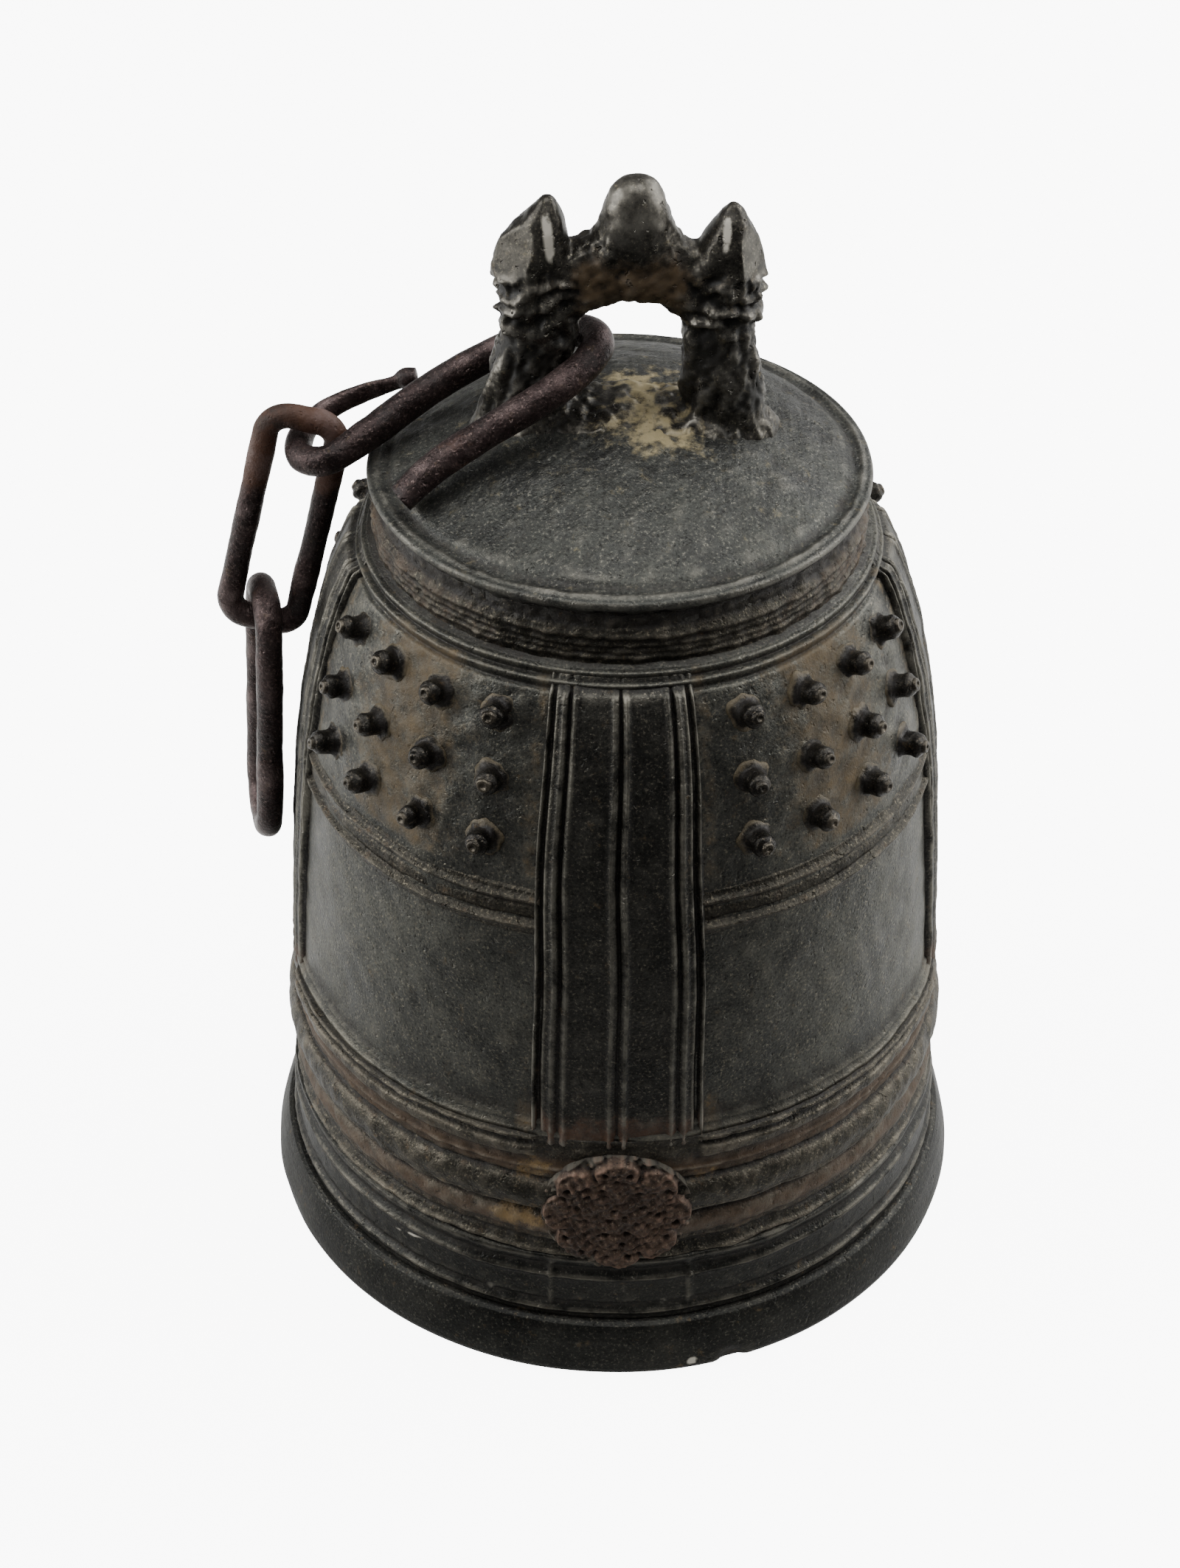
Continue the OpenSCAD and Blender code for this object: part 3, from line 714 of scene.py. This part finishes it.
bronze_medallion = metal("bronze_medallion", dark=(0.042, 0.027, 0.019),
                         middle=(0.088, 0.056, 0.038), light=(0.22, 0.17, 0.12),
                         dirt_and_shade_colour=(0.008, 0.005, 0.004), stain_colour=(0.085, 0.078, 0.06),
                         wear_and_highlight_colour=(0.22, 0.14, 0.1), bump=0.5, metallic=0.5, cloud=150.0,
                         pit_depth=1.0, rough_low=0.5, rough_high=0.66)
for medal, turn in {"front_medallion": 0, "back_medallion": 180}.items():
    x = radius * MEDAL_R * np.cos(angle)
    z = MEDAL_Z + radius * MEDAL_R * np.sin(angle)
    flat = np.stack([x, 0 * x + turn, z], -1)
    relief = lotus(radius, angle, flat) + 0.13 * waves(flat, 2.6, 91) + 0.11 * waves(flat, 1.1, 92)
    lifted = np.where(radius > 0.985, -0.6, relief)
    face = around(BELT_R + lifted, np.degrees(x / 50) + turn, z)
    back_x = back_radius * MEDAL_R * np.cos(angle)
    back_z = MEDAL_Z + back_radius * MEDAL_R * np.sin(angle)
    back = around(BELT_R - 1.2, np.degrees(back_x / 50) + turn, back_z)
    medal_verts, medal_faces = skin(np.concatenate([back, face]))
    recess, proud = hollows(relief, 6, 0.3)
    pad = np.zeros((2, angle.size))
    halo = 0.85 * rise(radius, 0.81 + petal_reach(angle), 0.02)
    put(medal + "_lotus", medal_verts, medal_faces, bronze_medallion, "bronze_medallion", "bell",
        [medal], recess=np.vstack([pad, recess]), proud=np.vstack([pad, proud]),
        stain=np.vstack([pad, halo]))


# ---- the crown ---------------------------------------------------------------------------
# The bell's roof: a low dome with a rounded rim that overhangs the neck, cast with the wall.
# Grey-green and finely pitted, with earth caught round the handle's feet, and painted shade under
# the rim.

CROWN_R = 35.0
RIM_Z = 127.2
DOME_RISE = 9.0
RIM_GROOVE = 31.9
crown_angle = whole_turn(420)


def crown_height(radius):
    """The dome: a paraboloid inside the rim, with a shallow groove beside a rounded rim."""
    dome = RIM_Z + 0.2 + DOME_RISE * (1 - np.clip(radius / (CROWN_R - 2), 0, 1) ** 2)
    return dome + lines(radius, [(33.4, 0.3, 0.5), (RIM_GROOVE, -0.3, 0.6)])


radius = np.linspace(0.985, 0.02, 150)[:, None] * CROWN_R + 0 * crown_angle
flat = around(radius, crown_angle, 0)
relief = 0.1 * waves(flat, 15, 101) + 0.05 * waves(flat, 4, 102) + 0.03 * waves(flat, 1.6, 103)
relief = relief * rise(34.3 - radius, 0, 0.4)
top = around(radius, crown_angle, crown_height(radius) + relief)
rim = np.array([[20.0, NECK_TOP], [33.2, NECK_TOP], [33.5, 125.1], [34.0, 125.6],
                [34.6, 126.1], [34.95, 126.7], [34.8, RIM_Z]])
rim_points = around(rim[:, :1], crown_angle, rim[:, 1:])
ragged = 0.35 * waves(rim_points, 6, 104) + 0.2 * waves(rim_points, 2, 105)
rim_points[1:4, :, 2] += ragged[1:4] * [[0.9], [0.7], [0.3]]
crown_verts, crown_faces = skin(np.concatenate([rim_points, top]))
recess, proud = hollows(relief + lines(radius, [(RIM_GROOVE, -0.3, 0.6), (33.6, 0.3, 0.6)]))
pad = np.zeros((len(rim), crown_angle.size))
# Painted shade: the rim's underside and the bend up to its edge are marked as full recess, so they
# take the darkest colour. The rounded outer edge is marked proud and worn lighter, partly as a
# painted highlight.
pad_proud = pad + np.array([0, 0, 0, 0.1, 0.4, 0.8, 0.8])[:, None]
rim_shade = pad + np.array([1, 1, 1, 0.8, 0.3, 0, 0])[:, None]
beside_feet = np.hypot(flat[..., 0] * 0.55, flat[..., 1] * 0.95)
patchy = 0.8 + 0.3 * waves(flat, 6, 106) + 0.25 * waves(flat, 2.2, 107)
earth = patchy * ridge(flat[..., 0], 5, 6.5) * ridge(np.abs(flat[..., 1]), 7, 3.6)
earth = earth + 0.3 * ridge(beside_feet, 0, 9.5)
bronze_crown = metal("bronze_crown", dark=(0.032, 0.033, 0.031), middle=(0.058, 0.06, 0.053),
                     light=(0.2, 0.19, 0.155), dirt_and_shade_colour=(0.016, 0.013, 0.009),
                     stain_colour=(0.2, 0.16, 0.09), wear_and_highlight_colour=(0.2, 0.19, 0.16),
                     earth_colour=(0.34, 0.28, 0.15), bump=0.24, metallic=0.7, cloud=110.0)
put("crown", crown_verts, crown_faces, bronze_crown, "bronze_crown", "bell", ["crown_plate"],
    recess=np.vstack([rim_shade, recess]), proud=np.vstack([pad_proud, proud]),
    earth=np.vstack([pad, earth]))


# ---- the dragon handle -------------------------------------------------------------------
# Two dragon necks rise from the crown and join in a bridge under a smooth flaming jewel. Rough
# sand-cast bronze, black and ochre, with folded necks and flat brows worn lighter, and a painted
# highlight, a thin pale upright strip, on each head.

def through(knots, per):
    """A smooth line through every knot: Catmull-Rom cubics, per points to a stretch."""
    knots = np.asarray(knots, float)
    ends = np.vstack([knots[:1], knots, knots[-1:]])
    a, b, c, d = (ends[k:len(ends) - 3 + k, None, :] for k in range(4))
    u = (np.arange(per) / per)[None, :, None]
    line = 0.5 * (2 * b + (c - a) * u + (2 * a - 5 * b + 4 * c - d) * u ** 2
                  + (3 * b - a - 3 * c + d) * u ** 3)
    return np.vstack([line.reshape(-1, knots.shape[1]), knots[-1:]])


def swept(line, side, half_side, half_up, sides, square=2.0, closed=False):
    """An oval section, or a squarer one, carried along a line. Its half_side reaches across
    both the line and the side direction, and its half_up lies square to that."""
    if closed:
        tangent = np.roll(line, -1, 0) - np.roll(line, 1, 0)
    else:
        tangent = np.gradient(line, axis=0)
    tangent /= np.linalg.norm(tangent, axis=1)[:, None]
    a = np.cross(tangent, side)
    a /= np.linalg.norm(a, axis=1)[:, None]
    b = np.cross(tangent, a)
    w = np.linspace(0, 2 * np.pi, sides, endpoint=False)[None, :, None]
    c, s = np.cos(w), np.sin(w)
    c = np.sign(c) * np.abs(c) ** (2 / square)
    s = np.sign(s) * np.abs(s) ** (2 / square)
    half_side = np.broadcast_to(half_side, len(line))[:, None, None]
    half_up = np.broadcast_to(half_up, len(line))[:, None, None]
    return line[:, None] + a[:, None] * c * half_side + b[:, None] * s * half_up


def neck(knots, square):
    """A leg, neck and head in one: an oval section swept through knots of (x, z, half width,
    half depth) that stand on y = 0."""
    run = through(knots, 14)
    line = np.stack([run[:, 0], 0 * run[:, 0], run[:, 1]], -1)
    return skin(swept(line, (0, 1, 0), run[:, 2], run[:, 3], 40, square))


# HANDLE_X and JEWEL_X are the middles of the arch and of the jewel. Each brow is a point on its
# plane and the way that the plane faces.
HANDLE_X = 1.2
JEWEL_X = 1.7
HANDLE_TOP = 170.55
BROWS = [((-13.7, -2.6, 161.0), (-0.6, -0.76, 0.26)), ((-13.7, 2.6, 161.0), (-0.6, 0.76, 0.26)),
         ((16.7, -2.4, 160.6), (0.8, -0.56, 0.2)), ((16.7, 2.4, 160.6), (0.8, 0.56, 0.2))]
left_neck = [(-13.6, 131.5, 6.3, 4.7), (-13.2, 135, 6.3, 4.7), (-12.5, 139.5, 5.9, 4.5),
             (-11.7, 144, 5.2, 4.2), (-10.7, 148.6, 4.9, 4.0), (-11.4, 151.6, 5.2, 4.3),
             (-11.6, 155, 4.9, 4.2), (-11.9, 158.4, 5.2, 4.4), (-11.1, 161.2, 4.4, 4.1),
             (-10.3, 163.8, 3.1, 3.3), (-9.9, 166, 1.9, 2.2), (-9.8, 167.7, 0.6, 0.8)]
right_neck = [(14.4, 131.5, 5.9, 4.7), (14.0, 135, 5.7, 4.7), (13.6, 139.5, 5.6, 4.5),
              (13.3, 144, 5.1, 4.2), (13.0, 148.6, 4.8, 4.0), (13.4, 151.6, 5.2, 4.3),
              (13.6, 155, 5.1, 4.2), (14.2, 158.4, 4.9, 4.4), (14.3, 161.2, 4.1, 4.0),
              (14.4, 163.6, 2.7, 3.0), (14.5, 165.4, 1.6, 1.9), (14.5, 166.8, 0.5, 0.7)]
run = through([(-11.6, 150.2, 4.4, 3.5), (-8.4, 154.0, 4.9, 3.7), (-3.2, 157.2, 5.0, 3.8),
               (1.7, 158.0, 5.1, 3.9), (6.4, 157.1, 4.9, 3.8), (10.8, 154.0, 4.8, 3.7),
               (13.8, 150.2, 4.2, 3.5)], 12)
bridge_line = np.stack([run[:, 0], 0 * run[:, 0], run[:, 1]], -1)
bridge = skin(swept(bridge_line, (0, 1, 0), run[:, 2], run[:, 3], 40, 2.6))
dome = through([(9.4, 159.2), (7.0, 161.2), (5.4, 163.0), (4.75, 164.8), (4.35, 166.3),
                (3.9, 167.6), (3.1, 169.2), (1.9, 170.15), (0.5, 170.45)], 8)
w = np.linspace(0, 2 * np.pi, 48, endpoint=False)
jewel = skin(np.stack([JEWEL_X + dome[:, :1] * np.cos(w),
                       0.92 * np.minimum(dome[:, :1], 4.7) * np.sin(w),
                       dome[:, 1:] + 0 * w], -1))
w_wide = np.linspace(0, 2 * np.pi, 96, endpoint=False)
spread, mound_z = np.array([[1.0, 130.2], [1.0, 133.0], [0.93, 134.6], [0.8, 135.8],
                            [0.62, 136.6], [0.4, 137.0], [0.15, 137.1]]).T[:, :, None]
mound = skin(np.stack([0.5 + (13 + 8.4 * spread) * np.cos(w_wide) * spread ** 0.3,
                       8.6 * spread * np.sin(w_wide), mound_z + 0 * w_wide], -1))
handle_verts, handle_faces = joined([neck(left_neck, 2.5), neck(right_neck, 2.5), bridge, jewel,
                                     mound])

# The parts are fused into one skin, which is then carved along its normals: folds round the
# necks (a sine wave up each one), lumps left by the sand, and flat brows cut by planes. The marks
# follow the same shapes.
rough_mesh = bpy.data.meshes.new("handle_rough")
rough_mesh.from_pydata((handle_verts * 0.001).tolist(), [], handle_faces)
rough = bpy.data.objects.new("handle_rough", rough_mesh)
bpy.context.scene.collection.objects.link(rough)
fused = rough.modifiers.new("fused", "REMESH")
fused.mode = "VOXEL"
fused.voxel_size = 0.00036
settled = rough.modifiers.new("settled", "SMOOTH")
settled.factor = 0.5
settled.iterations = 6
whole = rough.evaluated_get(bpy.context.evaluated_depsgraph_get()).to_mesh()
count = len(whole.vertices)
spots = np.zeros(count * 3, np.float32)
whole.vertices.foreach_get("co", spots)
facing = np.zeros(count * 3, np.float32)
whole.vertices.foreach_get("normal", facing)
spots = spots.reshape(-1, 3).astype(float) * 1000
facing = facing.reshape(-1, 3).astype(float)
handle_faces = [list(p.vertices) for p in whole.polygons]
rough.to_mesh_clear()
bpy.data.objects.remove(rough)
x, _, z = spots.T
on_neck = rise(np.abs(x - HANDLE_X), 7.6, 0.8)
fold_zone = rise(z, 148.2, 0.8) * (1 - rise(z, 157.2, 0.8)) * on_neck
from_neck = np.abs(x - np.where(x < HANDLE_X, -11.4, 13.6))
fold_line = z + 0.35 * from_neck * np.sign(np.abs(x - HANDLE_X) - 12)
folds = fold_zone * 0.42 * np.sin(2 * np.pi * fold_line / 3.3 + 1.3 * waves(spots, 6, 111))
jewel_zone = rise(z, 162.8, 0.7) * ridge(x, JEWEL_X, 5.5)
brow = rise(z, 158.5, 0.7) * on_neck
smooth = np.clip(jewel_zone + brow, 0, 1)
leg_zone = 1 - rise(z, 148, 1.0)
mound_zone = 1 - rise(z, 137.8, 0.6)
tall = spots * [1, 1, 0.45]
streaks = 0.2 * waves(tall, 4.4, 112) + 0.18 * waves(tall, 2.2, 113)
clumps = 0.18 * waves(spots, 4.4, 117) + 0.18 * waves(spots, 2.2, 118)
lumps = clumps + (streaks - clumps) * on_neck * leg_zone + 0.08 * waves(spots, 1.1, 114)
lumps = lumps * (1 - 0.85 * smooth) * (1 - 0.4 * mound_zone)
lumps = lumps * (1 - 0.5 * (1 - on_neck) * rise(z, 140, 1))
shaped = spots + facing * (folds + lumps)[:, None]
facet = np.zeros(count)
for spot, way in BROWS:
    way = np.array(way) / np.linalg.norm(way)
    same_side = np.sign(shaped[:, 0]) == np.sign(spot[0])
    cut = np.clip((shaped - spot) @ way, 0, None) * rise(shaped[:, 2], 156.8, 0.4) * same_side
    shaped = shaped - cut[:, None] * way
    facet = np.maximum(facet, np.clip(cut / 0.15, 0, 1))
shaped[:, 2] = np.minimum(shaped[:, 2], HANDLE_TOP)
# The legs below the folds are painted near-black through the recess mark, though they lie in no
# hollows, all but a strip down the left leg's outer side.
black_leg = leg_zone * (1 - mound_zone) * (1 - 0.8 * ridge(x, -19, 3.5))
recess = np.clip(-(folds + lumps) / 0.45 + 1.0 * black_leg, 0, 1)
proud = np.clip((folds + lumps) / 0.5, 0, 1) * 0.55 + 0.3 * facet + 0.7 * jewel_zone
# Painted highlight: a thin pale upright strip on each head, carried by the bright mark and coloured
# pale and matt like bare metal.
left_head_highlight = ridge(x + 0.12 * (z - 160), -9.3, 0.8) * rise(z, 160, 1.0) * (1 - rise(z, 166.3, 0.5))
right_head_highlight = ridge(x - 0.1 * (z - 160), 13.2, 0.7) * rise(z, 161.5, 0.8)
head_highlights = left_head_highlight + right_head_highlight * (1 - rise(z, 165.6, 0.5))
earthy = 0.8 * ridge(z, 157, 5.5) * (1 - 0.5 * on_neck) * (1 - 0.7 * jewel_zone)
earthy = earthy + 0.2 * ridge(z, 149, 6)
between_feet = ridge(x, 4.2, 6.5) * mound_zone * (0.9 + 0.3 * waves(spots, 3, 116))
bronze_handle = metal("bronze_handle", dark=(0.03, 0.028, 0.024), middle=(0.078, 0.072, 0.06),
                      light=(0.22, 0.2, 0.15), dirt_and_shade_colour=(0.006, 0.005, 0.003),
                      stain_colour=(0.085, 0.056, 0.028), wear_and_highlight_colour=(0.27, 0.255, 0.22),
                      earth_colour=(0.34, 0.28, 0.15), cloud=190.0, bump=0.4, pit_depth=0.8,
                      pit_scale=800.0, hollow_and_shade=1.5, rough_low=0.26, rough_high=0.48)
put("dragon_handle", shaped, handle_faces, bronze_handle, "bronze_handle", "bell",
    ["handle_seat", "left_leg", "right_leg", "handle_bridge", "left_dragon_head",
     "right_dragon_head", "jewel"], recess=recess, proud=proud, stain=earthy, bright=head_highlights,
    earth=between_feet)


# ---- the hook ----------------------------------------------------------------------------
# A forged iron rod bent round the handle's left leg, with one arm cut off short and lying on the
# crown and the other beaten thinner and curled round into an eye that holds the first link.
# Each point gives x, y, z, half the width and half the height of the rod.

HOOK = [(-29.4, -14.9, 130.6, 2.5, 1.9), (-23.8, -12.4, 134.9, 2.3, 2.2),
        (-16, -9.4, 138.9, 2.3, 2.3), (-9.8, -7.5, 142.2, 2.3, 2.3), (-5, -4.4, 144.8, 2.3, 2.3),
        (-3.1, 0, 145.7, 2.3, 2.3), (-5, 4.6, 145, 2.3, 2.3), (-10, 7.6, 143, 2.3, 2.3),
        (-17, 7.6, 140, 2.3, 2.3), (-24.6, 6.8, 135.8, 2.3, 2.3), (-30.6, 4.3, 132.4, 2.3, 2.3),
        (-35.2, 1.3, 130.2, 2.3, 2.3), (-40, -0.9, 128, 2.2, 2.2), (-43.6, 0.9, 126.9, 2.1, 2.1),
        (-44.6, 4.5, 126.9, 2, 2), (-43.4, 8.2, 127.9, 1.7, 1.8), (-39.8, 10.6, 129.6, 1.2, 1.7),
        (-35.4, 12, 130.9, 0.8, 1.5), (-31.6, 12.2, 132.2, 0.8, 1.2), (-30, 12.2, 133, 1.6, 1.6),
        (-28.4, 12.1, 133.3, 1.4, 1.4)]


def forged(loops, line, seed):
    """Hammer marks: the skin moved in and out from its line by smooth lumps of two sizes."""
    out = loops - line[:, None]
    out /= np.linalg.norm(out, axis=2)[..., None]
    marks = 0.05 * waves(loops, 9, seed) + 0.015 * waves(loops, 2.2, seed + 1)
    return loops + (marks - 0.06)[..., None] * out, marks


iron = metal("forged_iron", dark=(0.018, 0.012, 0.0115), middle=(0.055, 0.036, 0.034),
             light=(0.2, 0.145, 0.13), dirt_and_shade_colour=(0.01, 0.007, 0.006),
             stain_colour=(0.068, 0.028, 0.014), wear_and_highlight_colour=(0.24, 0.18, 0.17), cloud=170.0,
             metallic=0.75, rough_low=0.26, rough_high=0.46, wear_and_highlight=0.55)
run = through(HOOK, 12)
line = run[:, :3]
tube = swept(line, (0, 0, 1), run[:, 3] * 0.98, run[:, 4] * 0.98, 36, 2.1)
tube, marks = forged(tube, line, 121)
recess, proud = np.clip(-marks / 0.15, 0, 1), np.clip(marks / 0.12, 0, 1)
hook_verts, hook_faces = skin(tube)
put("hook_rod", hook_verts, hook_faces, iron, "forged_iron", "hook", ["hook"], recess=recess,
    proud=proud, stain=0.15 + 0.1 * waves(tube, 16, 123))


# ---- the two links -----------------------------------------------------------------------
# Closed links of round iron wire, bent to long ovals and butted shut on one bar. The middle one
# hangs from the hook's curl and leans on the shoulder, and the end one hangs square to it.

def oval(length, width, corner, count):
    """A closed line of straight bars and quarter circles, in the X-Z plane, from the right bar
    up and over to the left one. Points lie evenly along it."""
    straight, across = length / 2 - corner, width / 2 - corner
    turns = np.radians(np.linspace(0, 90, 40))
    middles = [(across, straight), (-across, straight), (-across, -straight), (across, -straight)]
    path = np.vstack([np.stack([cx + corner * np.cos(turns + quarter * np.pi / 2),
                                cz + corner * np.sin(turns + quarter * np.pi / 2)], -1)
                      for quarter, (cx, cz) in enumerate(middles)])
    path = np.vstack([path, path[:1]])
    run = np.append(0, np.cumsum(np.linalg.norm(np.diff(path, axis=0), axis=1)))
    even = np.linspace(0, run[-1], count, endpoint=False)
    x, z = (np.interp(even, run, path[:, k]) for k in (0, 1))
    return np.stack([x, 0 * x, z], -1)


def turned(points, axis, degrees):
    """The points turned about Y or Z by an angle in degrees."""
    c, s = np.cos(np.radians(degrees)), np.sin(np.radians(degrees))
    about = {"Y": [[c, 0, s], [0, 1, 0], [-s, 0, c]], "Z": [[c, -s, 0], [s, c, 0], [0, 0, 1]]}
    return points @ np.array(about[axis]).T


def link_piece(name, node, shape, wire, place, seed, rust):
    """One link: its oval line, put in place, with a skin of wire that is nipped in where its
    ends butt. wire is half its thickness, and rust gives the stain at each point."""
    line = place(shape)
    side = np.cross(line[len(line) // 3] - line[0], line[len(line) // 2] - line[0])
    side /= np.linalg.norm(side)
    tube = swept(line, side, wire, wire, 30, closed=True)
    tube, marks = forged(tube, line, seed)
    joint = ridge((np.arange(len(line)) / len(line) + 0.04) % 1, 0.02, 0.0035)
    out = tube - line[:, None]
    tube = line[:, None] + out * (1 - 0.13 * joint)[:, None, None]
    recess = np.clip(-marks / 0.15, 0, 1) + joint[:, None]
    verts, faces = skin(tube, closed=True)
    put(name, verts, faces, iron, "forged_iron", node, [node], recess=np.clip(recess, 0, 1),
        proud=np.clip(marks / 0.12, 0, 1), stain=rust(tube))


# CURL is where the hook's eye bears. WIRE is half a thickness, of which 0.02 is kept back so
# that the wire stays inside its plain shape. PLAY is the gap where one link hangs on another.
CURL = np.array([-44.5, 4.5, 126.9])
CURL_WIRE = 2.1
MIDDLE_LENGTH = 34.6
MIDDLE_WIRE = 1.9
MIDDLE_LEAN = 13.8
END_LENGTH = 40.8
END_WIRE = 2.05
END_TURN = 102
END_LEAN = 3.3
PLAY = 0.3
below_curl = CURL_WIRE + MIDDLE_WIRE + PLAY
below_bow = MIDDLE_WIRE + END_WIRE + PLAY + 0.15
lean = np.radians(MIDDLE_LEAN)
bow = CURL - (MIDDLE_LENGTH - below_curl) * np.array([np.sin(lean), 0, np.cos(lean)])
bow = bow + 0.5 * np.array([np.cos(lean), 0, -np.sin(lean)])
link_piece("middle_link_wire", "middle_link", oval(MIDDLE_LENGTH, 10, 3.2, 260),
           MIDDLE_WIRE - 0.02,
           lambda p: turned(p - [0, 0, MIDDLE_LENGTH / 2 - below_curl], "Y", MIDDLE_LEAN) + CURL,
           131, lambda p: 0.25 + 0.9 * rise(p[..., 2], 121, 3))
link_piece("end_link_wire", "end_link", oval(END_LENGTH, 11.8, 5.5, 280), END_WIRE - 0.02,
           lambda p: turned(turned(p - [0, 0, END_LENGTH / 2 - below_bow], "Z", END_TURN),
                            "Y", END_LEAN) + bow,
           141, lambda p: 0.2 + 0.15 * waves(p, 14, 143))


# ---- the stand, the light and the view ---------------------------------------------------
# A plain pale floor, large soft lamps to the left, right and behind, and a camera that looks
# down on the bell's front. The floor and the world are white only to the camera: what the dark
# metal mirrors is dark in front and pale behind.

WHITE = 8.0

floor_mesh = bpy.data.meshes.new("floor")
floor_mesh.from_pydata([(-4, -4, 0), (4, -4, 0), (4, 4, 0), (-4, 4, 0)], [], [(0, 1, 2, 3)])
floor = bpy.data.objects.new("floor", floor_mesh)
bpy.context.scene.collection.objects.link(floor)
paper = bpy.data.materials.new("pale_paper")
paper.use_nodes = True
sheet = paper.node_tree.nodes["Principled BSDF"]
sheet.inputs["Roughness"].default_value = 0.9
path = paper.node_tree.nodes.new("ShaderNodeLightPath")
split = paper.node_tree.nodes.new("ShaderNodeSeparateXYZ")
place = paper.node_tree.nodes.new("ShaderNodeTexCoord")
paper.node_tree.links.new(place.outputs["Object"], split.inputs["Vector"])
thrown = blended(paper.node_tree, between(paper.node_tree, split.outputs["Y"], -0.15, 0.03),
                 (0.06, 0.06, 0.06, 1), (0.9, 0.9, 0.88, 1))
seen = path.outputs["Is Camera Ray"]
paper.node_tree.links.new(blended(paper.node_tree, seen, thrown, (0.95, 0.95, 0.94, 1)),
                          sheet.inputs["Base Color"])
paper.node_tree.links.new(blended(paper.node_tree, seen, (0, 0, 0, 1), (1, 1, 1, 1)),
                          sheet.inputs["Emission Color"])
sheet.inputs["Emission Strength"].default_value = WHITE
floor_mesh.materials.append(paper)

world = bpy.data.worlds.new("studio")
world.use_nodes = True
world.node_tree.nodes["Background"].inputs["Color"].default_value = (1, 1, 1, 1)
behind = world.node_tree.nodes.new("ShaderNodeLightPath").outputs["Is Camera Ray"]
world.node_tree.links.new(
    worked(world.node_tree, "MAXIMUM", worked(world.node_tree, "MULTIPLY", behind, WHITE), 0.16),
    world.node_tree.nodes["Background"].inputs["Strength"])
bpy.context.scene.world = world


def lamp(name, place, size, power):
    """A square soft lamp that faces the middle of the bell."""
    light = bpy.data.lights.new(name, "AREA")
    light.size = size
    light.energy = power
    stand = bpy.data.objects.new(name, light)
    stand.location = place
    aim = Vector((0, 0, 0.09)) - Vector(place)
    stand.rotation_euler = aim.to_track_quat("-Z", "Y").to_euler()
    bpy.context.scene.collection.objects.link(stand)


lamp("left_window", (-1.1, -0.02, 0.55), 1.0, 16)
lamp("right_window", (1.1, 0.16, 0.6), 1.0, 16)
lamp("back_window", (0.85, 0.95, 0.75), 0.9, 7)
lamp("ceiling", (0.0, -0.1, 1.7), 1.3, 22)

view = bpy.data.cameras.new("view")
view.sensor_fit = "HORIZONTAL"
view.sensor_width = 36
view.lens = 94.05
camera = bpy.data.objects.new("view", view)
camera.location = (-0.00599, -0.36143, 0.35583)
looking = Vector((0.00453, 0.78472, -0.61983)).to_track_quat("-Z", "Y")
camera.rotation_euler = looking.to_euler()
camera.rotation_euler.rotate_axis("Z", np.radians(0.272))
bpy.context.scene.collection.objects.link(camera)
bpy.context.scene.camera = camera
